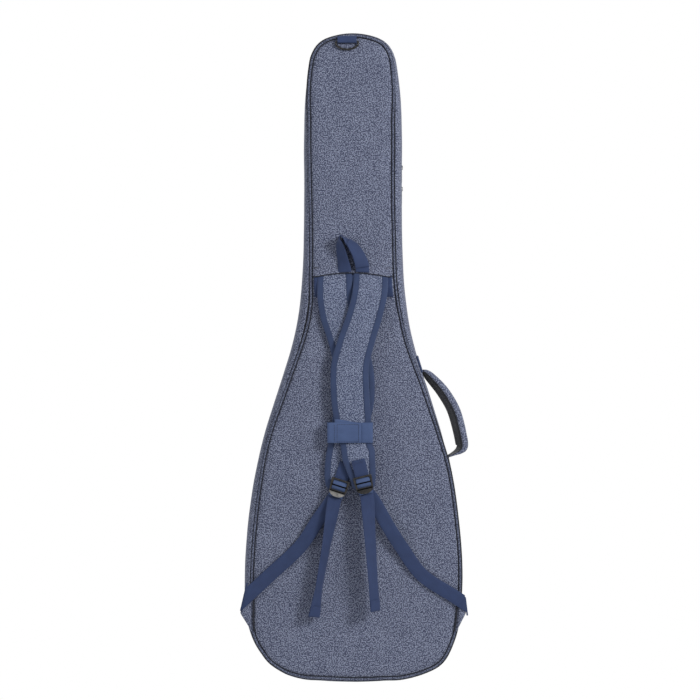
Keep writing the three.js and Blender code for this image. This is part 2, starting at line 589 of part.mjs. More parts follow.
// Outline of a ladder lock in its own x and z, with its two slots.
function lockGeometry() {
  const r = 3;
  const shape = new THREE.Shape();
  shape.moveTo(-LOCK_HALF + r, LOCK_TOP);
  shape.lineTo(LOCK_HALF - r, LOCK_TOP);
  shape.quadraticCurveTo(LOCK_HALF, LOCK_TOP, LOCK_HALF, LOCK_TOP - r);
  shape.lineTo(LOCK_HALF - 2, LOCK_BOTTOM);
  shape.quadraticCurveTo(LOCK_LIP_HALF, LOCK_LIP, 0, LOCK_LIP);
  shape.quadraticCurveTo(-LOCK_LIP_HALF, LOCK_LIP, -LOCK_HALF + 2, LOCK_BOTTOM);
  shape.lineTo(-LOCK_HALF, LOCK_TOP - r);
  shape.quadraticCurveTo(-LOCK_HALF, LOCK_TOP, -LOCK_HALF + r, LOCK_TOP);
  const slotHalf = STRAP_WIDTH / 2 + GAP + 0.2;
  const slot = (low, high) => new THREE.Path([
    v2(-slotHalf, low), v2(slotHalf, low), v2(slotHalf, high), v2(-slotHalf, high),
  ]);
  shape.holes = [
    slot(LOCK_BAR / 2, LOCK_TOP - LOCK_BAR), slot(LOCK_BOTTOM + LOCK_BAR, -LOCK_BAR / 2),
  ];
  const geometry = new THREE.ExtrudeGeometry(shape, { depth: LOCK_BAR, bevelEnabled: false, curveSegments: 4 });
  return geometry.rotateX(Math.PI / 2).translate(0, LOCK_BAR / 2, 0);
}

const square = (y, z, half) => [v2(y - half, z - half), v2(y + half, z - half), v2(y + half, z + half), v2(y - half, z + half)];
const wrapIn = LOCK_BAR / 2 + GAP;
const wrapOut = wrapIn + WEBBING;
const lockStand = wrapOut + 0.3 + WEBBING + 2 * GAP;   // lock's middle plane above the pad's face

// The tab is folded round the lock's top bar and sewn on the pad.
function tabGeometry() {
  const barZ = LOCK_TOP - LOCK_BAR / 2;
  const sewn = lockStand - GAP;
  const outline = [
    v2(-wrapOut, barZ - wrapOut), v2(wrapOut, barZ - wrapOut), v2(wrapOut, barZ + wrapOut * 0.6),
    v2(sewn, barZ + wrapOut + 4), v2(sewn, barZ + wrapOut + TAB_LENGTH),
    v2(sewn - 2 * WEBBING, barZ + wrapOut + TAB_LENGTH), v2(sewn - 2 * WEBBING, barZ + wrapOut + 4),
    v2(-wrapOut, barZ + wrapOut),
  ];
  return bar(outline, STRAP_WIDTH, [square(0, barZ, wrapIn)]);
}

// The strap's webbing turns over the middle bar and leaves behind the bottom bar and the lip.
const turnEnd = LOCK_LIP - 1.3;
function turnGeometry() {
  const outline = [
    v2(wrapOut, turnEnd), v2(wrapOut, -wrapIn), v2(-wrapIn, -wrapIn), v2(-wrapIn, wrapIn),
    v2(wrapOut, wrapIn), v2(wrapOut, wrapOut), v2(-wrapOut, wrapOut), v2(-wrapOut, -wrapOut),
    v2(wrapIn, -wrapOut), v2(wrapIn, turnEnd),
  ];
  return bar(outline, STRAP_WIDTH);
}

// A webbing that lies flat over the back: its points carry x, y and z.
function flatWebbing(points) {
  const across = points.map((_, i) => {
    const before = points[Math.max(i - 1, 0)];
    const after = points[Math.min(i + 1, points.length - 1)];
    return v3(after.z - before.z, 0, before.x - after.x).normalize();
  });
  return ribbon(points, across, STRAP_WIDTH, WEBBING);
}

const straps = [
  {
    side: 'left', line: LEFT_PAD_LINE, depthAt: leftPadY, lock: LEFT_LOCK, sign: -1,
    route: LEFT_WEBBING_ROUTE, tailEnd: LEFT_TAIL_END,
  },
  {
    side: 'right', line: RIGHT_PAD_LINE, depthAt: rightPadY, lock: RIGHT_LOCK, sign: 1,
    route: RIGHT_WEBBING_ROUTE, tailEnd: RIGHT_TAIL_END,
  },
];
for (const { side, line, depthAt, lock, sign, route, tailEnd } of straps) {
  const list = padStations(line, depthAt);
  add(`${side}_pad`, padGeometry(list), FABRIC);
  add(`${side}_pad_binding`, bindingGeometry(list), WEBBING_NAVY);

  const { back, thick } = list.at(-1);
  const lockY = back - thick - lockStand;
  const lockGroup = new THREE.Group();
  lockGroup.position.set(lock.x, lockY, lock.z);
  lockGroup.rotation.y = degrees(lock.lean);
  bag.add(lockGroup);
  add(`${side}_ladder_lock`, lockGeometry(), DARK_METAL, lockGroup);
  add(`${side}_lock_tab`, tabGeometry(), WEBBING_NAVY, lockGroup);
  add(`${side}_webbing_turn`, turnGeometry(), WEBBING_NAVY, lockGroup);

  const lean = degrees(lock.lean);
  const onLock = (v, y) => v3(lock.x + v * Math.sin(lean), y, lock.z + v * Math.cos(lean));
  const tailY = lockY + (wrapIn + wrapOut) / 2;
  const tailStart = onLock(turnEnd - TAIL_PLAY, tailY);
  const tailBend = onLock(turnEnd - 8, tailY);
  const tailTip = v3(tailEnd[0], tailY - TAIL_CURL, tailEnd[1]);
  const tailPoints = [tailStart, ...[0, 0.12, 0.35, 0.65, 1].map((t) => tailBend.clone().lerp(tailTip, t))];
  add(`${side}_strap_tail`, flatWebbing(tailPoints), WEBBING_NAVY);

  // The webbing under the lock runs to the corner tab and is sewn on its face.
  const standY = lockY + wrapOut + 0.3 + WEBBING / 2;
  const overTab = tabNearY - CORNER_TAB - GAP - WEBBING / 2;
  const routeY = (share) => THREE.MathUtils.lerp(standY, overTab, Math.min(share * 1.3, 1));
  const lower = [onLock(1, standY), onLock(-14, standY)];
  route.forEach(([x, z], i) => lower.push(v3(x, routeY((i + 1) / route.length), z)));
  const tipX = sign * (halfWidthAt(0, CORNER_TAB_TIP) + CORNER_TAB_OUT);
  const [endX, endZ] = route.at(-1);
  lower.push(v3((endX + tipX) / 2, overTab, endZ - Math.abs(tipX - endX) / 2));
  add(`${side}_lower_webbing`, flatWebbing(lower), WEBBING_NAVY);
}

// The keeper band wraps both pads. Its flap closes over the front.
const rightPadFace = padBase - 0.4 - PAD - 0.2 - PAD;
const frontY = rightPadFace - GAP;
const keeperBack = faceY;
const keeperOutline = [
  v2(KEEPER_RETURN, frontY), v2(KEEPER_RIGHT, frontY), v2(KEEPER_RIGHT, keeperBack - WEBBING),
  v2(KEEPER_LEFT, keeperBack - WEBBING), v2(KEEPER_LEFT, frontY - WEBBING - GAP),
  v2(KEEPER_LEFT - WEBBING, frontY - WEBBING - GAP), v2(KEEPER_LEFT - WEBBING, keeperBack),
  v2(KEEPER_RIGHT + WEBBING, keeperBack), v2(KEEPER_RIGHT + WEBBING, frontY - WEBBING),
  v2(KEEPER_RETURN, frontY - WEBBING),
];
const keeperShape = new THREE.Shape(keeperOutline);
const keeper = new THREE.ExtrudeGeometry(keeperShape, { depth: KEEPER_WIDTH, bevelEnabled: false });
add('keeper_band', keeper.translate(0, 0, KEEPER_LOW), WEBBING_NAVY);
const flapY = frontY - WEBBING - 2 * GAP;
add('keeper_flap', boxBetween(
  v3(KEEPER_LEFT - WEBBING, flapY - WEBBING, KEEPER_LOW), v3(FLAP_END, flapY, KEEPER_LOW + KEEPER_WIDTH),
), WEBBING_NAVY);

// ---- Inside the bag ----

const insideHalf = (low, high) => Math.min(halfWidthAt(gussetLiningOut - LINING, low),
  halfWidthAt(gussetLiningOut - LINING, high)) - GAP;
const cradleHalf = insideHalf(CRADLE_LOW, CRADLE_LOW + CRADLE_LENGTH);
const cradleFloor = -liningFar + GAP;
const cradleHigh = CRADLE_LOW + CRADLE_LENGTH;
add('neck_cradle', cut(
  boxBetween(v3(-cradleHalf, cradleFloor, CRADLE_LOW), v3(cradleHalf, CRADLE_TOP, cradleHigh)),
  boxBetween(v3(-CRADLE_GROOVE_HALF, CRADLE_GROOVE_FLOOR, CRADLE_LOW - 5),
    v3(CRADLE_GROOVE_HALF, CRADLE_TOP + 5, cradleHigh + 5)),
), FOAM_GREY);
const neckStrapLow = CRADLE_LOW + (CRADLE_LENGTH - NECK_STRAP_WIDTH) / 2;
add('neck_strap', boxBetween(
  v3(-cradleHalf + 6, CRADLE_TOP + GAP, neckStrapLow),
  v3(cradleHalf - 6, CRADLE_TOP + GAP + WEBBING, neckStrapLow + NECK_STRAP_WIDTH),
), BLACK_CLOTH);
add('end_block', plate(outlineBetween(gussetLiningOut - LINING - GAP, -Infinity, END_BLOCK_TOP),
  cradleFloor, CRADLE_TOP), FOAM_GREY);

// ---- The lid: front panel, its gusset, and the pockets ----

add('front_panel', plate(outlineBetween(panelEdge), seamY, skinY), FABRIC);
add('front_foam', plate(outlineBetween(-1), foamFar, foamNear), FOAM_GREY);
add('front_lining', plate(outlineBetween(0), liningFar, liningNear), LINING_GREY);
add('front_piping', seamStrip(pipingSection(1)), PIPING_NAVY);
const frontDepths = [ZIP_PLANE + ZIP_HALF, seamY - 9, seamY - 3, seamY - 0.4];
add('lid_gusset', seamStrip(gussetSection(frontDepths, frontDepths.at(-1))), FABRIC);
add('lid_gusset_foam', seamStrip(gussetFoamSection([ZIP_PLANE + ZIP_HALF + GAP, seamY - 9, seamY - 4])), FOAM_GREY);
add('zipper_front_half', seamStrip(zipperSection(1), zippedStations, false), ZIP_BLACK);

const pocketBack = skinY + GAP;
function pocket(name, inset, low, high, depth) {
  add(name, plate(outlineBetween(-inset, low, high), pocketBack, pocketBack + depth), FABRIC);
}
pocket('large_pocket', POCKET_INSET, POCKET_LOW, POCKET_HIGH, POCKET_DEPTH);
pocket('small_pocket', SMALL_POCKET_INSET, SMALL_POCKET_LOW, SMALL_POCKET_HIGH, SMALL_POCKET_DEPTH);

// A pocket's zipper lies along the top of the pocket, with its coil standing up in the middle.
function pocketZipper(name, length, top, depth) {
  const middle = pocketBack + depth / 2;
  const half = POCKET_ZIP_WIDTH / 2;
  const z = top + GAP;
  const outline = [
    v2(middle - half, z), v2(middle + half, z), v2(middle + half, z + TAPE),
    v2(middle + COIL_RADIUS, z + TAPE), v2(middle + COIL_RADIUS * 0.6, z + TAPE + COIL_RADIUS),
    v2(middle - COIL_RADIUS * 0.6, z + TAPE + COIL_RADIUS), v2(middle - COIL_RADIUS, z + TAPE),
    v2(middle - half, z + TAPE),
  ];
  add(name, bar(outline, length), ZIP_BLACK);
  return v3(0, middle, z + TAPE + COIL_RADIUS + GAP);
}
const largeZipAt = pocketZipper('large_pocket_zipper', POCKET_ZIP_LENGTH, POCKET_HIGH, POCKET_DEPTH);
const smallZipAt = pocketZipper('small_pocket_zipper', SMALL_ZIP_LENGTH, SMALL_POCKET_HIGH, SMALL_POCKET_DEPTH);

// ---- Zipper sliders, drawn flat: travel along x, outward along z ----

const ARCH_HALF = 4.6;
const ARCH_THICK = 2.6;
const ARCH_HIGH = 5.5;
const EYE_HALF = 2.6;
const EYE_LOW = SLIDER_PLATE + GAP;
const CROSSBAR = 1.3;
const PULL_AXIS = EYE_LOW + 1.1;

function sliderGeometry() {
  const end = SLIDER_LENGTH / 2;
  const half = SLIDER_WIDTH / 2;
  const plateShape = new THREE.Shape([
    v2(-end, -half * 0.7), v2(-end * 0.5, -half), v2(end, -half), v2(end, half), v2(-end * 0.5, half),
    v2(-end, half * 0.7),
  ]);
  const platePart = new THREE.ExtrudeGeometry(plateShape, { depth: SLIDER_PLATE, bevelEnabled: false });
  const arch = new THREE.Shape([
    v2(-ARCH_HALF, SLIDER_PLATE / 2), v2(ARCH_HALF, SLIDER_PLATE / 2), v2(ARCH_HALF, ARCH_HIGH - 1.4),
    v2(ARCH_HALF - 1.6, ARCH_HIGH), v2(-ARCH_HALF + 1.6, ARCH_HIGH), v2(-ARCH_HALF, ARCH_HIGH - 1.4),
  ]);
  arch.holes = [new THREE.Path([
    v2(-EYE_HALF, EYE_LOW), v2(EYE_HALF, EYE_LOW), v2(EYE_HALF, ARCH_HIGH - 1), v2(-EYE_HALF, ARCH_HIGH - 1),
  ])];
  const archPart = new THREE.ExtrudeGeometry(arch, { depth: ARCH_THICK, bevelEnabled: false });
  archPart.rotateX(Math.PI / 2).translate(0, ARCH_THICK / 2, 0);
  return join(platePart, archPart);
}

// The pull lies back along -x from its crossbar, which passes through the slider's arch.
function pullGeometry() {
  const half = PULL_WIDTH / 2;
  const windowHalf = ARCH_THICK / 2 + 0.5;
  const windowEnd = -7.2;
  const shape = new THREE.Shape([
    v2(CROSSBAR / 2, -half * 0.7), v2(CROSSBAR / 2, half * 0.7), v2(-6, half * 0.7), v2(-11, half),
    v2(-PULL_LENGTH + 3, half), v2(-PULL_LENGTH, half * 0.5), v2(-PULL_LENGTH, -half * 0.5),
    v2(-PULL_LENGTH + 3, -half), v2(-11, -half), v2(-6, -half * 0.7),
  ]);
  shape.holes = [new THREE.Path([
    v2(-CROSSBAR / 2, -windowHalf), v2(windowEnd, -windowHalf), v2(windowEnd, windowHalf),
    v2(-CROSSBAR / 2, windowHalf),
  ])];
  const geometry = new THREE.ExtrudeGeometry(shape, { depth: PULL_THICK, bevelEnabled: false });
  return geometry.translate(0, 0, PULL_AXIS - PULL_THICK / 2);
}

// Places a slider with its pull: `turn` stands its flat drawing up on the bag.
function slider(name, place, turn) {
  const group = new THREE.Group();
  group.position.copy(place);
  group.quaternion.copy(turn);
  bag.add(group);
  add(`${name}_slider`, sliderGeometry(), DARK_METAL, group);
  add(`${name}_pull`, pullGeometry(), DARK_METAL, group);
}

const basis = (x, y, z) => new THREE.Quaternion().setFromRotationMatrix(new THREE.Matrix4().makeBasis(x, y, z));
const sideTurn = basis(v3(0, 0, 1), v3(0, 1, 0), v3(-1, 0, 0)).premultiply(
  new THREE.Quaternion().setFromAxisAngle(v3(0, 0, 1), Math.PI),
);
const mainSliderX = NECK_HALF + TAPE_OFFSET + TAPE / 2 + COIL_RADIUS + GAP;
slider('upper_main', v3(mainSliderX, ZIP_PLANE, UPPER_SLIDER), sideTurn);
slider('lower_main', v3(mainSliderX, ZIP_PLANE, LOWER_SLIDER), sideTurn);
const topTurn = new THREE.Quaternion();
slider('large_pocket', largeZipAt.setX(POCKET_ZIP_LENGTH / 2 - 14), topTurn);
slider('small_pocket', smallZipAt.setX(SMALL_ZIP_LENGTH / 2 - 12), topTurn);

// ---- Hang the bag by the inside of its loop ----

const hung = new THREE.Group();
bag.position.set(-crown.x, -crown.y, -(crown.z - WEBBING / 2));
hung.add(bag);
hung.updateMatrixWorld(true);

export default hung;
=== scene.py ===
import math

import bmesh
import bpy
import numpy as np
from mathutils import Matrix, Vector, geometry, kdtree, noise


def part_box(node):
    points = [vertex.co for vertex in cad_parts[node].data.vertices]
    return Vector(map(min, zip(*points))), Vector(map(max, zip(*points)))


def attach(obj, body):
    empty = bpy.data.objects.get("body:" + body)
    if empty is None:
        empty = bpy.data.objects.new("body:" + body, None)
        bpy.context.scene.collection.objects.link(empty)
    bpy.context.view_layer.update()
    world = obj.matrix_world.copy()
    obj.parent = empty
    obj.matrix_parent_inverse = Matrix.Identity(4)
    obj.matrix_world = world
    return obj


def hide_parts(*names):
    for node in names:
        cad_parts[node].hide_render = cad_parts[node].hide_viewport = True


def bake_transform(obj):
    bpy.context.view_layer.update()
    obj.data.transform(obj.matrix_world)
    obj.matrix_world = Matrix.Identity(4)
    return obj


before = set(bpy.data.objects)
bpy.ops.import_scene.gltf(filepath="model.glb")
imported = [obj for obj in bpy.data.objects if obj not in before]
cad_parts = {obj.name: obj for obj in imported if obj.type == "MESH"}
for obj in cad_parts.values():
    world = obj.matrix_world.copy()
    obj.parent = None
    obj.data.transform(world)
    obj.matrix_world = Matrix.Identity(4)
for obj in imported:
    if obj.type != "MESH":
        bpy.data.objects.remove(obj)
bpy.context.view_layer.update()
MM = 0.001

# ---- The bag's drawing ----
# Millimetres: x = 0 on the neck's middle line, y = 0 at half depth, z = 0 at the foot.

lining_low, lining_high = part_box("back_lining")
ORIGIN = Vector((
    (lining_low.x + lining_high.x) / 2,
    (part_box("back_panel_lower")[0].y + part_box("front_panel")[1].y) / 2,
    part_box("gusset")[0].z,
))


def drawn(node):
    """Lowest and highest corner of a CAD node in the drawing, in millimetres."""
    low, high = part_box(node)
    return (low - ORIGIN) / MM, (high - ORIGIN) / MM


def drawn_points(node):
    """A CAD node's points in the drawing, each once."""
    points = np.array([(v.co - ORIGIN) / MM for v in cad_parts[node].data.vertices])
    return np.unique(points.round(2), axis=0)


# ---- Lines ----

def lerp(a, b, t):
    """A value part of the way from a to b."""
    return a + (b - a) * t


def ease(t):
    """A share from 0 to 1 that starts and ends softly."""
    t = min(max(t, 0.0), 1.0)
    return t * t * (3 - 2 * t)


def spline(points, step, closed=False):
    """A smooth line through the points, cut in even steps of about that length."""
    given = np.array(points, float)
    if closed:
        ends = np.vstack([given[-1], given, given[0], given[1]])
    else:
        ends = np.vstack([2 * given[0] - given[1], given, 2 * given[-1] - given[-2]])
    fine = []
    for a, b, c, d in zip(ends, ends[1:], ends[2:], ends[3:]):
        for t in np.linspace(0, 1, 16, endpoint=False):
            fine.append(0.5 * (2 * b + (c - a) * t + (2 * a - 5 * b + 4 * c - d) * t ** 2
                               + (3 * b - a - 3 * c + d) * t ** 3))
    fine.append(ends[-2])
    return even(np.array(fine), step, closed)


def even(line, step, closed=False):
    """The same line with points at even steps."""
    run = np.concatenate([[0], np.cumsum(np.linalg.norm(np.diff(line, axis=0), axis=1))])
    marks = np.linspace(0, run[-1], max(int(round(run[-1] / step)), 1) + 1)
    points = np.stack([np.interp(marks, run, line[:, k]) for k in range(line.shape[1])], axis=1)
    return points[:-1] if closed else points


def tangents(line, closed=False):
    """Directions along a line."""
    if closed:
        step = np.roll(line, -1, axis=0) - np.roll(line, 1, axis=0)
    else:
        step = np.gradient(line, axis=0)
    return step / np.linalg.norm(step, axis=1, keepdims=True)


def outward(line, closed=True):
    """Outward directions of a line of (x, z) points that runs anticlockwise."""
    along = tangents(line, closed)
    return np.stack([along[:, 1], -along[:, 0]], axis=1)


def settled(values, rounds):
    """A closed row of values, each drawn towards its neighbours."""
    for _ in range(rounds):
        values = (np.roll(values, 1, axis=0) + 2 * values + np.roll(values, -1, axis=0)) / 4
    return values


# ---- The seam line, read from the lining that lies inside it ----

SEAM_STEP = 5.0

lining_points = drawn_points("back_lining")
right_side = lining_points[lining_points[:, 0] > -0.05][:, [0, 2]]
right_side = np.unique(right_side, axis=0)
right_side = right_side[np.argsort(right_side[:, 1])]
left_side = right_side[1:-1][::-1] * [-1, 1]
SEAM = spline(np.vstack([right_side, left_side]), SEAM_STEP, closed=True)

# How much fuller the sewn bag is than its even drawing: height, left side, right side
FULLER = np.array([
    (16, -3.6, -3.0), (20, -2, -1.5), (24, 2, 3), (35, 4.5, 6), (53, 2.8, 9), (68, 1, 5), (84, 0, 0),
    (1165, 0, 0), (1180, -2, -2), (1190, -5, -5),
], float)
fuller_left = np.interp(SEAM[:, 1], FULLER[:, 0], FULLER[:, 1])
fuller_right = np.interp(SEAM[:, 1], FULLER[:, 0], FULLER[:, 2])
fuller = settled(np.where(SEAM[:, 0] < 0, fuller_left, fuller_right), 4)
SEAM = SEAM + outward(SEAM) * fuller[:, None]
SEAM_OUT = outward(SEAM)
half_count = len(SEAM) // 2

# How far the back's seam stands to the right of the even outline: height, left side, right side
BACK_LEAN = np.array([
    (16, 0, 0), (40, -4, 6), (60, -7, 10), (85, -8.5, 12), (105, -6, 10), (135, 0, 7), (158, 2, 8),
    (195, 0.5, 10), (232, 1, 10.5), (305, 1.2, 10), (378, -0.6, 11), (415, -2.5, 10.5), (451, -3.2, 8),
    (488, -2, 6.5), (524, 0, 5.6), (561, 0.5, 5.2), (597, 2, 2.5), (634, 4.8, 0), (671, 7.3, -0.6),
    (707, 7, -3), (744, 2.5, -3.5), (817, 0, -2.5), (927, -2.8, -3.9), (1036, -4, -3.5),
    (1073, -6.5, -0.5), (1110, -8.5, 1.8), (1146, -9, 3), (1189, -3, 0),
], float)
TALLER = 5.0           # how far the back's seam stands beyond the lid's at the bag's two ends
lean_left = np.interp(SEAM[:, 1], BACK_LEAN[:, 0], -BACK_LEAN[:, 1])
lean_right = np.interp(SEAM[:, 1], BACK_LEAN[:, 0], BACK_LEAN[:, 2])
lean = np.where(SEAM[:, 0] < 0, lean_left, lean_right) * abs(SEAM_OUT[:, 0])
at_the_ends = (SEAM[:, 1] > 1050) | (SEAM[:, 1] < 60)
LEAN_OUT = settled(lean + TALLER * abs(SEAM_OUT[:, 1]) * at_the_ends, 6)


def seam_line(offset, lean=0.0):
    """The closed seam line moved out by an offset, with a share of the back's lean."""
    return SEAM + SEAM_OUT * (offset + LEAN_OUT * lean)[:, None]


def half_width(offset, z, side, lean):
    """Distance of the moved seam line from the middle at a height, on the right side or (-1) on the left."""
    line = seam_line(offset, lean)
    part = line[:half_count + 1] if side > 0 else np.vstack([line[half_count:], line[:1]])[::-1]
    return side * float(np.interp(z, part[:, 1], part[:, 0]))


def outline(offset, low=None, high=None, lean=0.0):
    """The closed, moved seam line, or its part between two heights."""
    line = seam_line(offset, lean)
    if low is None and high is None:
        return line
    right = line[:half_count + 1]
    left = line[half_count:]
    bottom = -1e6 if low is None else low
    top = 1e6 if high is None else high
    right = right[(right[:, 1] > bottom + 1) & (right[:, 1] < top - 1)]
    left = left[(left[:, 1] > bottom + 1) & (left[:, 1] < top - 1)]

    def across(z, start, end):
        x_start, x_end = (side * half_width(offset, z, side, lean) for side in (start, end))
        xs = np.linspace(x_start, x_end, int(abs(x_end - x_start) / SEAM_STEP) + 1)
        return np.stack([xs, np.full(len(xs), z)], axis=1)

    pieces = [right, left]
    if high is not None:
        pieces.insert(1, across(high, 1, -1))
    if low is not None:
        pieces.append(across(low, -1, 1))
    return np.vstack(pieces)


# ---- Shader maths ----

def shade(red, green, blue):
    """A colour given as it looks on a screen, 0 to 255, in the shader's linear values."""
    def linear(c):
        c /= 255
        return c / 12.92 if c <= 0.04045 else ((c + 0.055) / 1.055) ** 2.4
    return (linear(red), linear(green), linear(blue), 1.0)


class Value:
    """A shader socket that takes part in plain arithmetic."""

    def __init__(self, finish, socket):
        self.finish = finish
        self.socket = socket

    def maths(self, operation, *others):
        return self.finish.node("ShaderNodeMath", {"operation": operation}, self, *others)

    def __add__(self, other):
        return self.maths("ADD", other)

    __radd__ = __add__

    def __sub__(self, other):
        return self.maths("SUBTRACT", other)

    def __rsub__(self, other):
        return self.finish.node("ShaderNodeMath", {"operation": "SUBTRACT"}, other, self)

    def __mul__(self, other):
        return self.maths("MULTIPLY", other)

    __rmul__ = __mul__

    def __truediv__(self, other):
        return self.maths("DIVIDE", other)

    def floor(self):
        return self.maths("FLOOR")

    def fraction(self):
        return self.maths("FRACT")

    def above(self, level):
        return self.maths("GREATER_THAN", level)

    def wave(self):
        """A smooth wave from 0 to 1 and back for each unit of the value."""
        return (self * (2 * math.pi)).maths("SINE") * 0.5 + 0.5

    def clamp(self):
        return self.maths("MAXIMUM", 0.0).maths("MINIMUM", 1.0)


class Finish:
    """A material, the record's slot that it belongs to, and the method that makes its nodes."""

    def __init__(self, name, slot):
        self.slot = slot
        self.material = bpy.data.materials.new(name)
        self.material.use_nodes = True
        self.tree = self.material.node_tree
        self.surface = self.tree.nodes["Principled BSDF"]

    def node(self, kind, settings, *values, output=0):
        """Makes a node: its settings first, then its sockets in order, as numbers or links."""
        made = self.tree.nodes.new(kind)
        for key, setting in settings.items():
            setattr(made, key, setting)
        for index, value in enumerate(values):
            if isinstance(value, Value):
                self.tree.links.new(value.socket, made.inputs[index])
            elif value is not None:
                made.inputs[index].default_value = value
        return Value(self, made.outputs[output])

    def cloth_place(self):
        """Across and along the cloth, in millimetres, from the piece's own map."""
        place = self.node("ShaderNodeUVMap", {"uv_map": "cloth"})
        across = self.node("ShaderNodeSeparateXYZ", {}, place)
        along = Value(self, across.socket.node.outputs[1])
        return across, along

    def object_place(self):
        """The point's place in the bag's frame, in millimetres."""
        coordinates = self.node("ShaderNodeTexCoord", {}, output=3)
        x = self.node("ShaderNodeSeparateXYZ", {}, coordinates)
        y, z = (Value(self, x.socket.node.outputs[i]) for i in (1, 2))
        return x * 1000.0, y * 1000.0, z * 1000.0

    def grain(self, x, y, z=0.0, detail=0.0):
        """Soft random values, about one lump for each unit."""
        vector = self.node("ShaderNodeCombineXYZ", {}, x, y, z)
        return self.node("ShaderNodeTexNoise", {}, vector, None, 1.0, detail)

    def mix(self, share, first, second):
        made = self.tree.nodes.new("ShaderNodeMix")
        made.data_type = "RGBA"
        for index, value in ((0, share), (6, first), (7, second)):
            if isinstance(value, Value):
                self.tree.links.new(value.socket, made.inputs[index])
            else:
                made.inputs[index].default_value = value
        return Value(self, made.outputs[2])

    def set(self, **sockets):
        for name, value in sockets.items():
            socket = self.surface.inputs[name.replace("_", " ")]
            if isinstance(value, Value):
                self.tree.links.new(value.socket, socket)
            else:
                socket.default_value = value

    def relief(self, height, depth_mm, strength):
        """Bump from a height of 0 to 1 that stands for a depth in millimetres."""
        bump = self.tree.nodes.new("ShaderNodeBump")
        bump.inputs["Strength"].default_value = strength
        bump.inputs["Distance"].default_value = depth_mm * MM
        self.tree.links.new(height.socket, bump.inputs["Height"])
        self.tree.links.new(bump.outputs[0], self.surface.inputs["Normal"])


# ---- Finishes ----

YARN = 0.95           # pitch of the cover cloth's yarns, in millimetres
YARN_PATCH = 2.4      # length over which a yarn keeps its colour


def heather(name, slot, dark, middle, light, spread):
    """Plain woven cloth of mottled yarns. spread is how far their colours part."""
    finish = Finish(name, slot)
    across, along = finish.cloth_place()
    warp = (across / YARN).floor()
    weft = (along / YARN).floor()
    over = ((warp + weft) / 2).fraction().above(0.25)
    warp_tone = finish.grain(warp * 7.31, along / YARN_PATCH)
    weft_tone = finish.grain(across / YARN_PATCH, weft * 5.77, 40.0)
    tone = warp_tone * over + weft_tone * (1 - over)
    slub = finish.grain(across / 1.6, along / 2.3, 11.0)
    streak = finish.grain(across / 4.5, along / 26, 17.0, 1.0)
    cloud = finish.grain(across / 45, along / 60, 23.0, 1.0)
    level = ((tone - 0.5) * 1.6 * spread + (slub - 0.5) * 2.5 * spread + (streak - 0.5) * 0.55
             + (cloud - 0.5) * 0.3 + 0.47)
    low = finish.mix((level * 2).clamp(), dark, middle)
    colour = finish.mix((level * 2 - 1).clamp(), low, light)
    round_warp = (across / YARN).wave()
    round_weft = (along / YARN).wave()
    finish.set(Base_Color=colour, Roughness=0.92, Sheen_Weight=0.12, Sheen_Roughness=0.6)
    finish.relief(round_warp * over + round_weft * (1 - over), 0.22, 0.7)
    return finish


def ribbed(name, slot, dark, light, rib, depth):
    """Woven tape with ribs across it."""
    finish = Finish(name, slot)
    across, along = finish.cloth_place()
    ribs = (along / rib).wave()
    threads = (across / (rib * 0.8)).wave()
    speck = finish.grain(across / 0.9, along / 0.7, 3.0)
    cloud = finish.grain(across / 14, along / 22, 8.0, 1.0)
    level = (ribs * 0.32 + threads * 0.14 + (speck - 0.5) * 0.9 + (cloud - 0.5) * 0.5 + 0.27).clamp()
    finish.set(Base_Color=finish.mix(level, dark, light), Roughness=0.8, Sheen_Weight=0.08)
    finish.relief(ribs * 0.8 + threads * 0.2, depth, 0.8)
    return finish


def knit(name, slot, dark, light, pitch=1.3):
    """Brushed lining cloth with a small diamond knit."""
    finish = Finish(name, slot)
    across, along = finish.cloth_place()
    loops = ((across + along) / pitch).wave() * ((across - along) / pitch).wave()
    speck = finish.grain(across / 1.1, along / 1.1, 5.0)
    cloud = finish.grain(across / 30, along / 40, 9.0, 1.0)
    level = (loops * 0.5 + (speck - 0.5) * 0.7 + (cloud - 0.5) * 0.4 + 0.25).clamp()
    finish.set(Base_Color=finish.mix(level, dark, light), Roughness=0.95, Sheen_Weight=0.3)
    finish.relief(loops, 0.25, 0.8)
    return finish


def cellular(name, slot, dark, light):
    """Cut foam: small open cells."""
    finish = Finish(name, slot)
    x, y, z = finish.object_place()
    cells = finish.grain(x / 1.3, y / 1.3, z / 1.3, 2.0)
    cloud = finish.grain(x / 35, y / 35, z / 35)
    level = ((cells - 0.5) * 2.2 + (cloud - 0.5) * 0.4 + 0.5).clamp()
    finish.set(Base_Color=finish.mix(level, dark, light), Roughness=0.98)
    finish.relief(cells, 0.5, 0.9)
    return finish


def worn_metal(name, slot, dark, light, roughness, lacquer=0.6):
    """Dark plated metal, rubbed lighter in places."""
    finish = Finish(name, slot)
    x, y, z = finish.object_place()
    rub = finish.grain(x / 5, y / 5, z / 5, 3.0)
    speck = finish.grain(x / 1.6, y / 1.6, z / 1.6, 1.0)
    level = ((rub - 0.45) * 1.6 + (speck - 0.5) * 0.5 + 0.3).clamp()
    finish.set(Base_Color=finish.mix(level, dark, light), Roughness=(speck - 0.5) * 0.25 + roughness,
               Metallic=1.0, Coat_Weight=lacquer, Coat_Roughness=0.12)
    finish.relief(speck, 0.05, 0.4)
    return finish


def moulded(name, slot, dark, light):
    """Small moulded plastic parts, such as zipper teeth."""
    finish = Finish(name, slot)
    x, y, z = finish.object_place()
    speck = finish.grain(x / 1.2, y / 1.2, z / 1.2, 1.0)
    finish.set(Base_Color=finish.mix(speck, dark, light), Roughness=(speck - 0.5) * 0.2 + 0.45)
    return finish


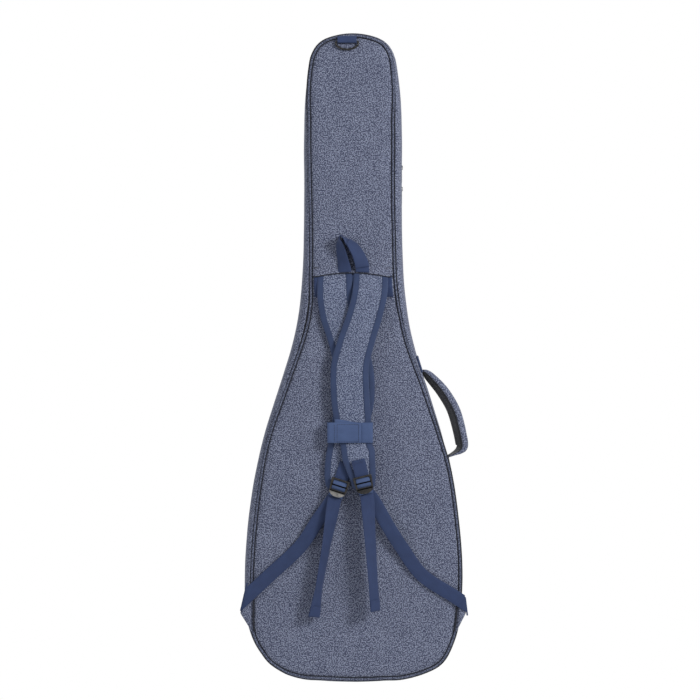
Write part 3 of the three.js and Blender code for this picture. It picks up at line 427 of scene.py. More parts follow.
COVER = heather("heather_cover_cloth", "cover_fabric",
                shade(50, 56, 82), shade(94, 101, 128), shade(154, 162, 186), 1.6)
PAD_COVER = heather("strap_cover_cloth", "cover_fabric",
                    shade(50, 60, 90), shade(95, 105, 136), shade(154, 164, 190), 1.5)
WEBBING = ribbed("navy_webbing", "webbing", shade(28, 42, 74), shade(51, 70, 115), 1.7, 0.3)
# The keeper's own lighter webbing, also laid on the webbing turns in the locks as painted highlight.
KEEPER_AND_HIGHLIGHT_CLOTH = ribbed("keeper_and_highlight_cloth", "webbing", shade(54, 71, 110), shade(83, 105, 150), 1.1, 0.15)
TAPE = ribbed("binding_tape", "binding_tape", shade(32, 46, 80), shade(60, 78, 117), 1.0, 0.15)
# Near-black cloth: the piping flange, dark as painted shade in the groove, and the dark cords laid as
# painted shadow lines.
FLANGE_AND_SHADE_CLOTH = ribbed("piping_flange_and_painted_shade", "piping", shade(8, 11, 20), shade(28, 33, 50), 1.0, 0.12)
PIPING_CORD = heather("piping_cloth", "piping",
                      shade(36, 43, 66), shade(78, 86, 113), shade(132, 140, 166), 1.4)
THREAD = ribbed("sewing_thread", "webbing", shade(24, 31, 52), shade(54, 64, 94), 0.5, 0.05)
LINING = knit("brushed_lining", "lining", shade(84, 88, 96), shade(126, 131, 138))
PLUSH = knit("cradle_cloth", "foam", shade(48, 50, 56), shade(78, 81, 88), 1.6)
FOAM = cellular("cut_foam", "foam", shade(46, 48, 54), shade(72, 75, 82))
DARK_CLOTH = knit("black_grip_cloth", "soft_black_cloth", shade(20, 21, 25), shade(48, 50, 57), 1.5)
STRAP_CLOTH = ribbed("black_strap_cloth", "soft_black_cloth",
                     shade(22, 23, 27), shade(50, 52, 58), 1.5, 0.25)
ZIP_TAPE = ribbed("zipper_tape", "zipper_tape", shade(18, 19, 24), shade(44, 47, 56), 0.9, 0.12)
ZIP_COIL = moulded("zipper_coil", "zipper_tape", shade(20, 21, 26), shade(44, 46, 54))
METAL = worn_metal("dark_bronze", "dark_metal", shade(12, 12, 13), shade(58, 55, 54), 0.3)
# Paler metal for the left lock's lip alone: painted reflection of bright light on the lip.
LIP_REFLECTION_METAL = worn_metal("lip_painted_reflection_bronze", "dark_metal", shade(80, 80, 80), shade(150, 147, 143), 0.35, 0.2)
# Near-black metal for the tubes over the locks' middle bars and lip edges: painted shade of the slots.
SLOT_SHADE_METAL = worn_metal("slot_painted_shade_metal", "dark_metal", shade(4, 4, 5), shade(18, 18, 19), 0.4, 0.0)


# ---- Making pieces ----

def face_out(mesh):
    """Turns a closed mesh's faces outwards."""
    work = bmesh.new()
    work.from_mesh(mesh)
    bmesh.ops.recalc_face_normals(work, faces=work.faces)
    work.to_mesh(mesh)
    work.free()


def settle(obj, body, stands_for=()):
    """Parents the piece to its body's empty, and hides the CAD nodes that it stands for."""
    if body:
        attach(obj, body)
    if stands_for:
        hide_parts(*stands_for)
    return obj


def finish_with(obj, kind, **settings):
    """Adds a modifier with its settings and applies it."""
    modifier = obj.modifiers.new(kind.lower(), kind)
    for key, value in settings.items():
        setattr(modifier, key, value)
    bpy.ops.object.select_all(action="DESELECT")
    bpy.context.view_layer.objects.active = obj
    obj.select_set(True)
    bpy.ops.object.modifier_apply(modifier=modifier.name)
    obj.select_set(False)
    return obj


class Build:
    """Collects points, faces and cloth places, so that several surfaces make one piece."""

    def __init__(self):
        self.points = []
        self.faces = []
        self.corners = []

    def add(self, points, faces, places):
        """places gives each face's list of places on the cloth."""
        start = len(self.points)
        self.points += [tuple(p) for p in points]
        for face, place in zip(faces, places):
            self.faces.append([start + i for i in face])
            self.corners += [tuple(p) for p in place]

    def loft(self, rings, closed=False, cap=True):
        """Skins a row of rings. The cloth runs across round each ring and along from ring to ring."""
        rings = np.array(rings, float)
        rows, count, _ = rings.shape
        loop = np.concatenate([rings, rings[:, :1]], axis=1)
        across = np.concatenate([[0], np.cumsum(np.linalg.norm(np.diff(loop, axis=1), axis=2).mean(axis=0))])
        line = np.concatenate([rings, rings[:1]], axis=0) if closed else rings
        along = np.concatenate([[0], np.cumsum(np.linalg.norm(np.diff(line, axis=0), axis=2).mean(axis=1))])
        faces, places = [], []
        for i in range(rows if closed else rows - 1):
            k = (i + 1) % rows
            for j in range(count):
                m = (j + 1) % count
                faces.append([i * count + j, k * count + j, k * count + m, i * count + m])
                places.append([(across[j], along[i]), (across[j], along[i + 1]),
                               (across[j + 1], along[i + 1]), (across[j + 1], along[i])])
        if cap and not closed:
            for row, order in ((0, 1), (rows - 1, -1)):
                ring = list(range(row * count, row * count + count))[::order]
                faces.append(ring)
                places.append([(across[j % count], along[row]) for j in range(count)])
        self.add(rings.reshape(-1, 3), faces, places)
        return self

    def make(self, name, finish, body, stands_for=(), flat=False):
        """The piece, with its cloth's map. A piece that is blended across a joint has no body."""
        mesh = bpy.data.meshes.new(name)
        mesh.from_pydata([ORIGIN + Vector(map(float, p)) * MM for p in self.points], [], self.faces)
        layer = mesh.uv_layers.new(name="cloth")
        layer.data.foreach_set("uv", np.array(self.corners, float).ravel())
        mesh.materials.append(finish.material)
        obj = bpy.data.objects.new(name, mesh)
        bpy.context.scene.collection.objects.link(obj)
        face_out(mesh)
        mesh.polygons.foreach_set("use_smooth", [not flat] * len(mesh.polygons))
        return settle(obj, body, stands_for)


def flat_mesh(border, spacing=9.0, rim_width=15.0, rim_spacing=4.2):
    """Points and triangles over a closed (x, z) border: close together near the rim, wider inside."""
    rim = [Vector(p) for p in border]
    tree = kdtree.KDTree(len(rim))
    for i, p in enumerate(rim):
        tree.insert((p.x, p.y, 0), i)
    tree.balance()
    low, high = border.min(axis=0), border.max(axis=0)
    inner = []
    for gap, nearest, farthest in ((rim_spacing, rim_spacing * 0.6, rim_width), (spacing, rim_width, 1e6)):
        for r in range(int((high[1] - low[1]) / (gap * 0.866)) + 1):
            z = low[1] + (r + 0.37) * gap * 0.866
            for c in range(int((high[0] - low[0]) / gap) + 2):
                x = low[0] + (c + 0.5 * (r % 2)) * gap
                if nearest < tree.find((x, z, 0))[2] <= farthest and inside(border, x, z):
                    inner.append(Vector((x, z)))
    edges = [(i, (i + 1) % len(rim)) for i in range(len(rim))]
    points, _, faces, _, _, _ = geometry.delaunay_2d_cdt(rim + inner, edges, [], 1, 1e-4)
    return np.array([(p.x, p.y) for p in points]), faces, tree


def inside(border, x, z):
    """Whether a point lies inside a closed border."""
    ends = np.roll(border, -1, axis=0)
    crosses = (border[:, 1] > z) != (ends[:, 1] > z)
    with np.errstate(divide="ignore", invalid="ignore"):
        at = border[:, 0] + (z - border[:, 1]) * (ends[:, 0] - border[:, 0]) / (ends[:, 1] - border[:, 1])
    return bool(np.count_nonzero(crosses & (x < at)) % 2)


# ---- Sewn surfaces ----

def both_faces(points, faces, front, back):
    """Two like faces and the rim between them, as one closed surface."""
    count = len(points)
    sides = {}
    for face in faces:
        for a, b in zip(face, list(face[1:]) + [face[0]]):
            sides[(a, b)] = True
    rim = [(a, b) for a, b in sides if (b, a) not in sides]
    placed = [(x, y, z) for (x, z), y in zip(points, front)] + [(x, y, z) for (x, z), y in zip(points, back)]
    all_faces = [list(face) for face in faces] + [[i + count for i in reversed(face)] for face in faces]
    all_faces += [[b, a, a + count, b + count] for a, b in rim]
    flat = [tuple(p) for p in points] * 2
    build = Build()
    build.add(placed, all_faces, [[flat[i] for i in face] for face in all_faces])
    return build


def lump(x, z, size, seed):
    """A smooth random height from about -1 to 1, with lumps of that size."""
    return noise.noise(Vector((float(x) / size, float(z) / size, seed)))


def panel(name, border, face, side, finish, body, stands_for=(), roll=2.0, roll_width=13.0, slack=0.9,
          thickness=1.1, seed=1.0, spacing=9.0):
    """A cloth panel that faces out at the given depth, rolls down to its seams and is a little slack."""
    points, faces, tree = flat_mesh(border, spacing)
    placed = []
    for x, z in points:
        edge = tree.find((x, z, 0))[2]
        drop = roll * (1 - ease(edge / roll_width))
        waves = 0.5 + 0.5 * lump(x, z, 85, seed) + 0.22 * lump(x, z, 24, seed + 9)
        drop += slack * ease(edge / 40) * waves
        placed.append((x, face - side * drop, z))
    build = Build()
    build.add(placed, faces, [[points[i] for i in face_points] for face_points in faces])
    obj = build.make(name, finish, body, stands_for)
    mean = sum(p.normal.y * p.area for p in obj.data.polygons)
    if mean * side < 0:
        obj.data.flip_normals()
    return finish_with(obj, "SOLIDIFY", thickness=thickness * MM, offset=-1.0)


def seam_ring(index, section):
    """A section of (depth, distance outside the seam) points, stood up at one place of the seam."""
    (x, z), (out_x, out_z) = SEAM[index], SEAM_OUT[index]
    return [(x + out_x * out, y, z + out_z * out) for y, out in section]


def leaned(index, y, out):
    """A distance outside the seam with the back's lean, which fades out where the wall is fullest."""
    return out + (LEAN_OUT[index] * (1 - swell(y) / BULGE) if y < 0 else 0)


def around_seam(section_at, indices=None):
    """A section lofted all round the seam, or along the listed places of it."""
    closed = indices is None
    chosen = range(len(SEAM)) if closed else indices
    return Build().loft([seam_ring(i, section_at(i)) for i in chosen], closed=closed)


def tube(line, radius, sides=10, closed=True):
    """A round cord along a line of points in the drawing."""
    line = np.array(line, float)
    along = tangents(line, closed)
    rings = []
    for p, t in zip(line, along):
        first = np.cross(t, (0, 1, 0))
        first /= np.linalg.norm(first)
        second = np.cross(t, first)
        rings.append([p + radius * (first * math.cos(a) + second * math.sin(a))
                      for a in np.linspace(0, 2 * math.pi, sides, endpoint=False)])
    return Build().loft(rings, closed=closed)


def band_rings(line, across, width, thickness):
    """Rings of a flat woven band with rounded edges. across is its direction, one or one for each point."""
    line = np.array(line, float)
    half, deep = width / 2, thickness / 2
    rings = []
    for p, t, a in zip(line, tangents(line), np.broadcast_to(np.array(across, float), line.shape)):
        a = a - t * np.dot(a, t)
        a /= np.linalg.norm(a)
        n = np.cross(t, a)
        section = [(-half, -deep * 0.4), (-half, deep * 0.4), (-half + 0.7, deep), (-half * 0.4, deep),
                   (half * 0.4, deep), (half - 0.7, deep), (half, deep * 0.4), (half, -deep * 0.4),
                   (half - 0.7, -deep), (half * 0.4, -deep), (-half * 0.4, -deep), (-half + 0.7, -deep)]
        rings.append([p + a * u + n * v for u, v in section])
    return rings


def band(line, across, width, thickness):
    """A flat woven band along a line."""
    return Build().loft(band_rings(line, across, width, thickness))


def turned(angles, first=(1, 0, 0), second=(0, 1, 0)):
    """Directions that swing from first towards second by the given degrees."""
    first, second = np.array(first, float), np.array(second, float)
    return [first * math.cos(math.radians(a)) + second * math.sin(math.radians(a)) for a in angles]


class Sewing:
    """The visible stitches of one body, collected line by line and made as one piece."""

    def __init__(self):
        self.lines = {}

    def add(self, body, line, normal, pitch=3.4, length=2.4, radius=0.38, closed=False):
        """A row of stitches along a line. normal is the outward direction, one or one for each point."""
        build = self.lines.setdefault(body, Build())
        line = np.array(line, float)
        normals = np.broadcast_to(np.array(normal, float), line.shape)
        for p, q, n in even_pairs(line, normals, pitch, closed):
            t = (q - p) / np.linalg.norm(q - p)
            side = np.cross(n, t)
            side /= np.linalg.norm(side)
            middle = (p + q) / 2
            tips = [middle - t * length / 2, middle + t * length / 2]
            waist = [middle + offset * radius for offset in (side, n, -side, -n)]
            faces = [(0, 2, 3), (0, 3, 4), (0, 4, 5), (0, 5, 2), (1, 3, 2), (1, 4, 3), (1, 5, 4), (1, 2, 5)]
            build.add(tips + waist, faces, [[(0, 0), (1, 0), (1, 1)]] * len(faces))

    def make_all(self):
        for body, build in self.lines.items():
            build.make(f"{body}_stitching", THREAD, body)


def even_pairs(line, normals, pitch, closed):
    """Pairs of neighbouring points at an even pitch along a line, each with the normal there."""
    whole = np.hstack([line, normals])
    if closed:
        whole = np.vstack([whole, whole[:1]])
    run = np.concatenate([[0], np.cumsum(np.linalg.norm(np.diff(whole[:, :3], axis=0), axis=1))])
    marks = np.linspace(0, run[-1], max(int(run[-1] / pitch), 1) + 1)
    spots = np.stack([np.interp(marks, run, whole[:, k]) for k in range(6)], axis=1)
    for a, b in zip(spots, spots[1:]):
        normal = a[3:] + b[3:]
        yield a[:3], b[:3], normal / np.linalg.norm(normal)


sewing = Sewing()
UPRIGHT = (0, 0, 1)
FACING_BACK = (0, -1, 0)
FACING_RIGHT = (1, 0, 0)


def stitch_between(body, start, end, normal, step=3, **thread):
    """A straight row of stitches."""
    sewing.add(body, even(np.array([start, end], float), step), normal, **thread)


def box_stitch(body, corners, normal):
    """Stitches round a four-cornered patch, and its diagonals."""
    for a, b in ((0, 1), (1, 2), (2, 3), (3, 0), (0, 2), (1, 3)):
        stitch_between(body, corners[a], corners[b], normal)


def wrap_cloth(mesh):
    """Lays the cloth's map on a plain-sided mesh, in millimetres, from the side that each face looks at."""
    layer = mesh.uv_layers.new(name="cloth")
    for polygon in mesh.polygons:
        sideways = max(range(3), key=lambda axis: abs(polygon.normal[axis]))
        u, v = [axis for axis in range(3) if axis != sideways]
        for corner in polygon.loop_indices:
            point = mesh.vertices[mesh.loops[corner].vertex_index].co / MM
            layer.data[corner].uv = (point[u], point[v])


def merged_solid(node, name, finish):
    """A copy of a CAD solid with its loose triangles merged into whole faces."""
    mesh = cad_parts[node].data.copy()
    work = bmesh.new()
    work.from_mesh(mesh)
    bmesh.ops.remove_doubles(work, verts=work.verts, dist=0.002 * MM)
    bmesh.ops.dissolve_limit(work, angle_limit=math.radians(1.0), verts=work.verts, edges=work.edges)
    work.to_mesh(mesh)
    work.free()
    mesh.materials.clear()
    mesh.materials.append(finish.material)
    obj = bpy.data.objects.new(name, mesh)
    bpy.context.scene.collection.objects.link(obj)
    return obj


def softened(node, name, finish, body, radius):
    """A CAD solid again with its edges rounded over."""
    obj = merged_solid(node, name, finish)
    finish_with(obj, "BEVEL", width=radius * MM, segments=3, limit_method="ANGLE",
                angle_limit=math.radians(25))
    face_out(obj.data)
    wrap_cloth(obj.data)
    bpy.ops.object.select_all(action="DESELECT")
    obj.select_set(True)
    bpy.context.view_layer.objects.active = obj
    bpy.ops.object.shade_smooth_by_angle(angle=math.radians(40))
    obj.select_set(False)
    return settle(obj, body, (node,))


# ---- The shell's skin ----

SKIN_FACE = drawn("back_panel_lower")[0][1]        # depth of the back panel's face, negative
SEAM_DEPTH = drawn("front_panel")[0][1]            # depth of the seams from the middle
LID_FACE = drawn("front_panel")[1][1]
BULGE = drawn("gusset")[1][0] - drawn("back_lining")[1][0]
SPLIT = drawn("back_panel_upper")[0][2]            # height of the seam across the back
ZIP_DEPTH = (drawn("zipper_rear_half")[1][1] + drawn("zipper_front_half")[0][1]) / 2
ZIP_HALF = drawn("lid_gusset")[0][1] - ZIP_DEPTH
HINGE_LOW, HINGE_HIGH = (corner[2] for corner in drawn("hinge_fabric"))
CORD_RADIUS = 1.75
CORD_DEPTH = 45.2
GROOVE = 2.0                                       # width of the shadow line beside the piping
WALL_STITCH_OUT = 16.05                            # the row of stitches beside the zipper, from the seam


def swell(y):
    """How far the side wall stands outside the seam at a depth."""
    return BULGE * max(1 - abs(y / SEAM_DEPTH) ** 3, 0) ** (1 / 3)


def wall_out(y):
    """How far the sewn side wall stands outside the seam at a depth: clear of the piping at its edges."""
    return max(swell(y), CORD_RADIUS * 2 + GROOVE)


def back_panels():
    """The two cloth panels of the back, which meet at the strap seam."""
    upper = outline(-GROOVE, low=SPLIT + 0.5, lean=1)
    lower = outline(-GROOVE, high=SPLIT - 0.9, lean=1)
    panel("back_cover_upper", upper, SKIN_FACE, -1, COVER, "shell", ("back_panel_upper",), seed=3.0)
    panel("back_cover_lower", lower, SKIN_FACE, -1, COVER, "shell", ("back_panel_lower",), seed=5.0)


def piping(name, side, body, node):
    """The covered cord in a seam, and the flange that it is sewn to, near-black as painted shade of the
    groove beside the cord.
    """
    lean = 1 if side < 0 else 0
    line = [(x, side * CORD_DEPTH, z) for x, z in seam_line(CORD_RADIUS, lean)]
    tube(line, CORD_RADIUS).make(f"{name}_cord", PIPING_CORD, body, (node,))
    low, high = side * (SEAM_DEPTH - 1.3), side * (SEAM_DEPTH - 1.9)
    inner, outer = -GROOVE - 2.5, 6.2
    around_seam(lambda i: [(y, out + lean * LEAN_OUT[i]) for y, out in (
        (low, inner), (low, outer), (high, outer), (high, inner))]).make(f"{name}_flange", FLANGE_AND_SHADE_CLOTH, body)


def side_wall(name, depths, body, nodes, seed):
    """A stretch of the side wall between two depths, swelling out and a little puckered at its seam."""
    depths = np.array(depths)
    seam_end = depths[np.argmax(abs(depths))]

    def section(i):
        outer = []
        for y in depths:
            near_seam = max(0.0, 1 - abs(y - seam_end) / 16)
            run = i * SEAM_STEP
            pucker = 0.35 * near_seam * lump(run, y * 2, 9, seed) + 0.55 * lump(run, y, 60, seed + 2)
            outer.append((y, leaned(i, y, wall_out(y) + min(pucker, 0.5))))
        inner = [(y, out - 1.3) for y, out in reversed(outer)]
        return outer + inner

    around_seam(section).make(name, COVER, body, nodes)


def zipper_places():
    """Places of the seam where the zipper runs, from above the sewn stretch round to below it."""
    sewn = [(x < 0 and HINGE_LOW - 3 < z < HINGE_HIGH + 3) for x, z in SEAM]
    last = max(i for i, is_sewn in enumerate(sewn) if is_sewn)
    count = len(SEAM)
    ordered = [(last + 1 + k) % count for k in range(count)]
    return [i for i in ordered if not sewn[i]], [i for i, is_sewn in enumerate(sewn) if is_sewn]


ZIPPED, SEWN = zipper_places()
COIL_OUT = 12.4                                    # the teeth and the tape, from the seam outwards
TAPE_OUT = 11.0
MEETING_GAP = 0.06                                 # from the zipper's middle to each half
TOOTH_HEIGHT = 1.9


def zipper_half(name, side, body, node):
    """One half of the main zipper: its tape and its teeth."""
    near, bend, edge = (ZIP_DEPTH + side * reach for reach in (MEETING_GAP, 2.6, ZIP_HALF + 1.6))
    around_seam(lambda i: [(near, TAPE_OUT), (bend, TAPE_OUT), (edge, 13.4), (edge, 12.9),
                           (bend, TAPE_OUT - 0.6), (near, TAPE_OUT - 0.6)],
                ZIPPED).make(f"{name}_tape", ZIP_TAPE, body, (node,))
    teeth = Build()
    line = spline([(SEAM[i][0] + SEAM_OUT[i][0] * COIL_OUT, 0, SEAM[i][1] + SEAM_OUT[i][1] * COIL_OUT)
                   for i in ZIPPED], 1.15)
    along = tangents(line)
    ups = np.stack([along[:, 2], np.zeros(len(line)), -along[:, 0]], axis=1)
    coil(teeth, line, ups, ZIP_DEPTH, side)
    teeth.make(f"{name}_coil", ZIP_COIL, body, flat=True)


def coil(build, line, ups, start, side, reach=2.3):
    """Zipper teeth: small blocks on one side of the zipper's middle, one at each second point."""
    sideways = np.array((0.0, 1.0, 0.0))
    along = tangents(line)
    faces = [(0, 3, 2, 1), (8, 9, 10, 11)]
    for k in (0, 4):
        faces += [(k + j, k + (j + 1) % 4, k + 4 + (j + 1) % 4, k + 4 + j) for j in range(4)]
    for i in range(0 if side > 0 else 1, len(line) - 1, 2):
        points = []
        for share, lift, width in ((0.08, 0.35, 0.55), (0.5, 0.0, 0.9), (1.0, 0.6, 0.75)):
            foot = line[i] + sideways * (start + side * reach * share)
            top, bottom = -lift, lift - TOOTH_HEIGHT
            for a, level in ((-1, bottom), (1, bottom), (1, top), (-1, top)):
                points.append(foot + along[i] * a * width / 2 + ups[i] * level)
        build.add(points, faces, [[(0, 0), (1, 0), (1, 1), (0, 1)]] * len(faces))


def hinge_strip(name, side, body, nodes=()):
    """The cloth where the lid is sewn on: one strip for each side of the hinge line."""
    near, far = ZIP_DEPTH + side * (ZIP_HALF + 1.5), ZIP_DEPTH + side * MEETING_GAP
    middle = (near + far) / 2
    around_seam(lambda i: [(near, 13.1), (middle, 14.1), (far, 13.9), (far, 12.9), (middle, 13.0),
                           (near, 12.2)], SEWN).make(name, COVER, body, nodes)


def shell_skin():
    """The outside of the bag's main half, and the foam under it."""
    back_panels()
    piping("back_piping", -1, "shell", "back_piping")
    rear_edge = drawn("gusset")[1][1]
    depths = [-44.4, -42.8, -40, -36, -31, -25, -18, -10, -2, 5, 10, rear_edge - 1.5, rear_edge]
    side_wall("side_wall_cover", depths, "shell", ("gusset",), 11.0)
    zipper_half("zipper_rear", -1, "shell", "zipper_rear_half")
    hinge_strip("lid_hinge_cloth", -1, "shell", ("hinge_fabric",))
    foam_face, foam_back = drawn("back_foam")[0][1] + 0.6, drawn("back_foam")[1][1]
    points, faces, _ = flat_mesh(outline(-4, lean=1), spacing=40, rim_width=1)
    both_faces(points, faces, [foam_face] * len(points), [foam_back] * len(points)).make(
        "back_foam_sheet", FOAM, "shell", ("back_foam",), flat=True)
    low, high = drawn("gusset_foam")
    section = [(low[1], 4.2), (low[1], swell(low[1]) - 2.5), (-34, swell(-34) - 2.2),
               (-22, swell(-22) - 2), (-8, swell(-8) - 2), (high[1], swell(high[1]) - 2), (high[1], 4.0),
               (-8, 4.0), (-29, 4.0)]
    around_seam(lambda i: [(y, leaned(i, y, out)) for y, out in section]).make(
        "side_foam_strip", FOAM, "shell", ("gusset_foam",), flat=True)
    line = [seam_ring(i, [(rear_edge - 2.6, WALL_STITCH_OUT)])[0] for i in range(len(SEAM))]
    sewing.add("shell", line, [(o[0], 0, o[1]) for o in SEAM_OUT], closed=True)


def lid_skin():
    """The lid's outside. Its foam stays as drawn, in the foam's own look."""
    panel("lid_cover", outline(-GROOVE), LID_FACE, 1, COVER, "lid", ("front_panel",), seed=8.0)
    piping("lid_piping", 1, "lid", "front_piping")
    near = drawn("lid_gusset")[0][1]
    side_wall("lid_wall_cover", [near, near + 1.5, 33, 37, 40, 42.8, 44.4], "lid", ("lid_gusset",), 17.0)
    zipper_half("zipper_lid", 1, "lid", "zipper_front_half")
    hinge_strip("lid_hinge_edge", 1, "lid")
    for node in ("front_foam", "lid_gusset_foam"):
        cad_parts[node].data.materials.clear()
        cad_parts[node].data.materials.append(FOAM.material)


# ---- Inside the bag ----

def inside_linings():
    """The linings, the cradle and the block that hold the instrument, and the strap over its neck."""
    back = drawn("back_lining")[1][1]
    front = drawn("front_lining")[0][1]
    panel("back_lining_cloth", outline(0), back, 1, LINING, "shell", ("back_lining",), roll=0.8, slack=0.5,
          thickness=0.8, seed=21.0, spacing=14.0)
    panel("lid_lining_cloth", outline(0), front, -1, LINING, "lid", ("front_lining",), roll=0.8, slack=0.5,
          thickness=0.8, seed=25.0, spacing=14.0)
    wall_low, wall_high = drawn("gusset_lining")[0][1], drawn("gusset_foam")[1][1]
    near, far = wall_high + 0.2, wall_high + 0.9
    around_seam(lambda i: [(wall_low, 3.3), (-10, 3.0), (near, 3.3), (near, 12.0), (far, 12.2), (far, 2.7),
                           (-10, 2.3), (wall_low, 2.7)]).make(
        "side_lining_cloth", LINING, "shell", ("gusset_lining",))
    near = drawn("lid_gusset_foam")[0][1] - 0.3
    far = near + 0.25
    around_seam(lambda i: [(near, -1.0), (near, 12.0), (far, 12.0), (far, -1.0)]).make(
        "lid_rim_lining", LINING, "lid")
    for node in ("neck_cradle", "end_block"):
        cover = softened(node, f"{node}_cover", PLUSH, "shell", 4.0)
    low, high = drawn("neck_strap")
    middle = (low[2] + high[2]) / 2
    width = high[2] - low[2]
    line = spline([(low[0], 8.6, middle), (low[0] + 12, 9.3, middle), (0, 9.7, middle),
                   (high[0] - 12, 9.3, middle), (high[0], 8.6, middle)], 4)
    band(line, UPRIGHT, width, 1.6).make("neck_strap_webbing", STRAP_CLOTH, "shell", ("neck_strap",))
    flap = even(np.array([(-8.0, 10.7, middle), (high[0] - 5, 10.6, middle)]), 4)
    band(flap, UPRIGHT, width - 2, 1.2).make("neck_strap_flap", STRAP_CLOTH, "shell")
    left, right, bottom, top = low[0] + 4, low[0] + 22, low[2] + 4, high[2] - 4
    corners = [(x, 9.6, z) for x, z in ((left, bottom), (right, bottom), (right, top), (left, top))]
    box_stitch("shell", corners, (0, 1, 0))


# ---- Shoulder straps ----

BINDING_ROOM = 2.0             # binding tape and gap outside a pad's CAD solid
TAPE_WIDTH = 10.5              # binding tape seen on each face of a pad
PINCH = 1.7                    # half thickness of a pad at its bound edge
PINCH_WIDTH = 24               # how far in from its edge a pad reaches its full thickness
PAD_TOP_HEIGHT = SPLIT + 5     # the pads' tops run up behind the seam's fold
TOP_DEPTHS = {"left": -47.9, "right": -49.2}
END_RADIUS = 12.0              # rounding of a pad's lower end


def cut_from(width):
    """Works out a webbing's width in metres and does nothing more with it."""
    width * MM


class Pad:
    """The shape of one shoulder pad, read from its CAD solid."""

    def __init__(self, node, top_depth):
        self.top_depth = top_depth
        points = drawn_points(node)
        rows = []
        for z in sorted(set(points[:, 2])):
            at = points[points[:, 2] == z]
            low, high = at.min(axis=0), at.max(axis=0)
            rows.append((z, (low[0] + high[0]) / 2, (high[0] - low[0]) / 2 + BINDING_ROOM, high[1], low[1]))
        rows = np.array(rows)
        rows = np.vstack([rows, rows[-1] + (PAD_TOP_HEIGHT - rows[-1][0], 0, 0, 0, 0)])
        line = spline(rows[:, :3], 4.0)
        self.heights, self.middles, self.halves = line.T
        self.rows = rows
        self.end = rows[0][0] - BINDING_ROOM
        self.edge = self.edge_line()
        self.tree = kdtree.KDTree(len(self.edge))
        for i, (x, z) in enumerate(self.edge):
            self.tree.insert((x, z, 0), i)
        self.tree.balance()

    def edge_line(self):
        """Down the left edge, round the end and up the right edge."""
        keep = self.heights > self.end + END_RADIUS
        zs, xs, halves = self.heights[keep], self.middles[keep], self.halves[keep]
        left = np.stack([xs - halves, zs], axis=1)[::-1]
        right = np.stack([xs + halves, zs], axis=1)
        turns = np.linspace(0, math.pi / 2, 7)[1:]
        inward, lift = END_RADIUS * (1 - np.cos(turns)), END_RADIUS * (1 - np.sin(turns))
        low_left = np.stack([left[-1][0] + inward, self.end + lift], axis=1)
        low_right = np.stack([right[0][0] - inward, self.end + lift], axis=1)[::-1]
        return even(np.vstack([left, low_left, low_right, right]), 3.5)

    def face(self, z, edge, side):
        """Depth of the pad's face at a height and a distance from its edge. side -1 is the outside."""
        back = np.interp(z, self.rows[:, 0], self.rows[:, 3])
        front = np.interp(z, self.rows[:, 0], self.rows[:, 4])
        half = (back - front) / 2
        plump = lerp(min(PINCH, half), half, ease(edge / PINCH_WIDTH) ** 0.7)
        sewn = ease((z - SPLIT + 36) / 34)
        return lerp((back + front) / 2 + side * plump, self.top_depth + side * 0.8, sewn)


def under_fold(point):
    """The point, lowered if it would stand above the fold that covers the pads' tops."""
    x, y, z = point
    return (x, y, min(z, fold_height(x) + 2.5))


def fold_height(x):
    """Height of the strap seam, which the straps pull up in the middle."""
    return SPLIT - 4.0 + 7.2 * max(1 - ((x + 3) / 66) ** 2, 0)


def shoulder_pad(side):
    """A pad's cover and the binding tape round it."""
    pad = Pad(f"{side}_pad", TOP_DEPTHS[side])
    body = f"{side}_strap"
    border = even(np.vstack([pad.edge, pad.edge[:1]]), 4.0, closed=True)
    points, faces, _ = flat_mesh(border, spacing=7, rim_width=25, rim_spacing=4.5)
    front, back = [], []
    for x, z in points:
        edge = max(pad.tree.find((x, z, 0))[2] - 1.0, 0.0)
        puff = 0.7 * ease(edge / 20) * lump(x, z, 38, 31.0 + len(side))
        front.append(pad.face(z, edge, -1) + max(puff, -0.2))
        back.append(pad.face(z, edge, 1))
    points = np.array([(x, under_fold((x, 0, z))[2]) for x, z in points])
    cover = both_faces(points, faces, front, back).make(
        f"{side}_pad_cover", PAD_COVER, body, (f"{side}_pad",))

    inward = -outward(pad.edge, closed=False)
    middle = pad.edge.mean(axis=0)
    if np.sum(inward * (middle - pad.edge)) < 0:
        inward = -inward

    def spot(i, edge, side_of, lift):
        x, z = pad.edge[i] + inward[i] * edge
        return under_fold((x, pad.face(z, max(edge, 0), side_of) + side_of * lift, z))

    # Round the tape from the outside face: distance from the edge, face and lift off it
    tape_section = [
        (TAPE_WIDTH, -1, -0.3), (TAPE_WIDTH, -1, 0.45), (TAPE_WIDTH - 0.6, -1, 0.75), (6, -1, 0.8),
        (2.5, -1, 0.7), (0.3, -1, 0.3), (-0.7, -1, -0.9), (-0.7, 1, -0.9), (0.3, 1, 0.2), (2.5, 1, 0.4),
        (6, 1, 0.4), (TAPE_WIDTH, 1, 0.3), (TAPE_WIDTH, 1, -0.4), (3, 1, -0.9), (3, -1, -0.9),
    ]
    places = range(len(pad.edge))
    rings = [[spot(i, *step) for step in tape_section] for i in places]
    Build().loft(rings).make(f"{side}_pad_tape", TAPE, body, (f"{side}_pad_binding",))
    sewing.add(body, [spot(i, TAPE_WIDTH - 1.3, -1, 0.75) for i in places], FACING_BACK)


# Each ladder lock's middle and its lean in degrees
LOCKS = {"left": ((-25.5, -63.3, 367.5), 17.8), "right": ((18.9, -76.5, 374.5), -13.6)}
LIP_START = 12.0                               # how far below a lock's middle its lip begins to bend
LIP_FLARE = {"left": 3.2, "right": 1.2}        # how far each lock's lip is bent out
TAB_TOP = {"left": 44.0, "right": 43.0}        # how far up the pad each tab reaches
TAIL_DEPTH = 2.55                              # depth in a lock at which the tail leaves it
LOWER_DEPTH = 4.35                             # and at which the lower webbing leaves it
WEBBING_WIDTH = 25.0
WEBBING_THICK = 1.5


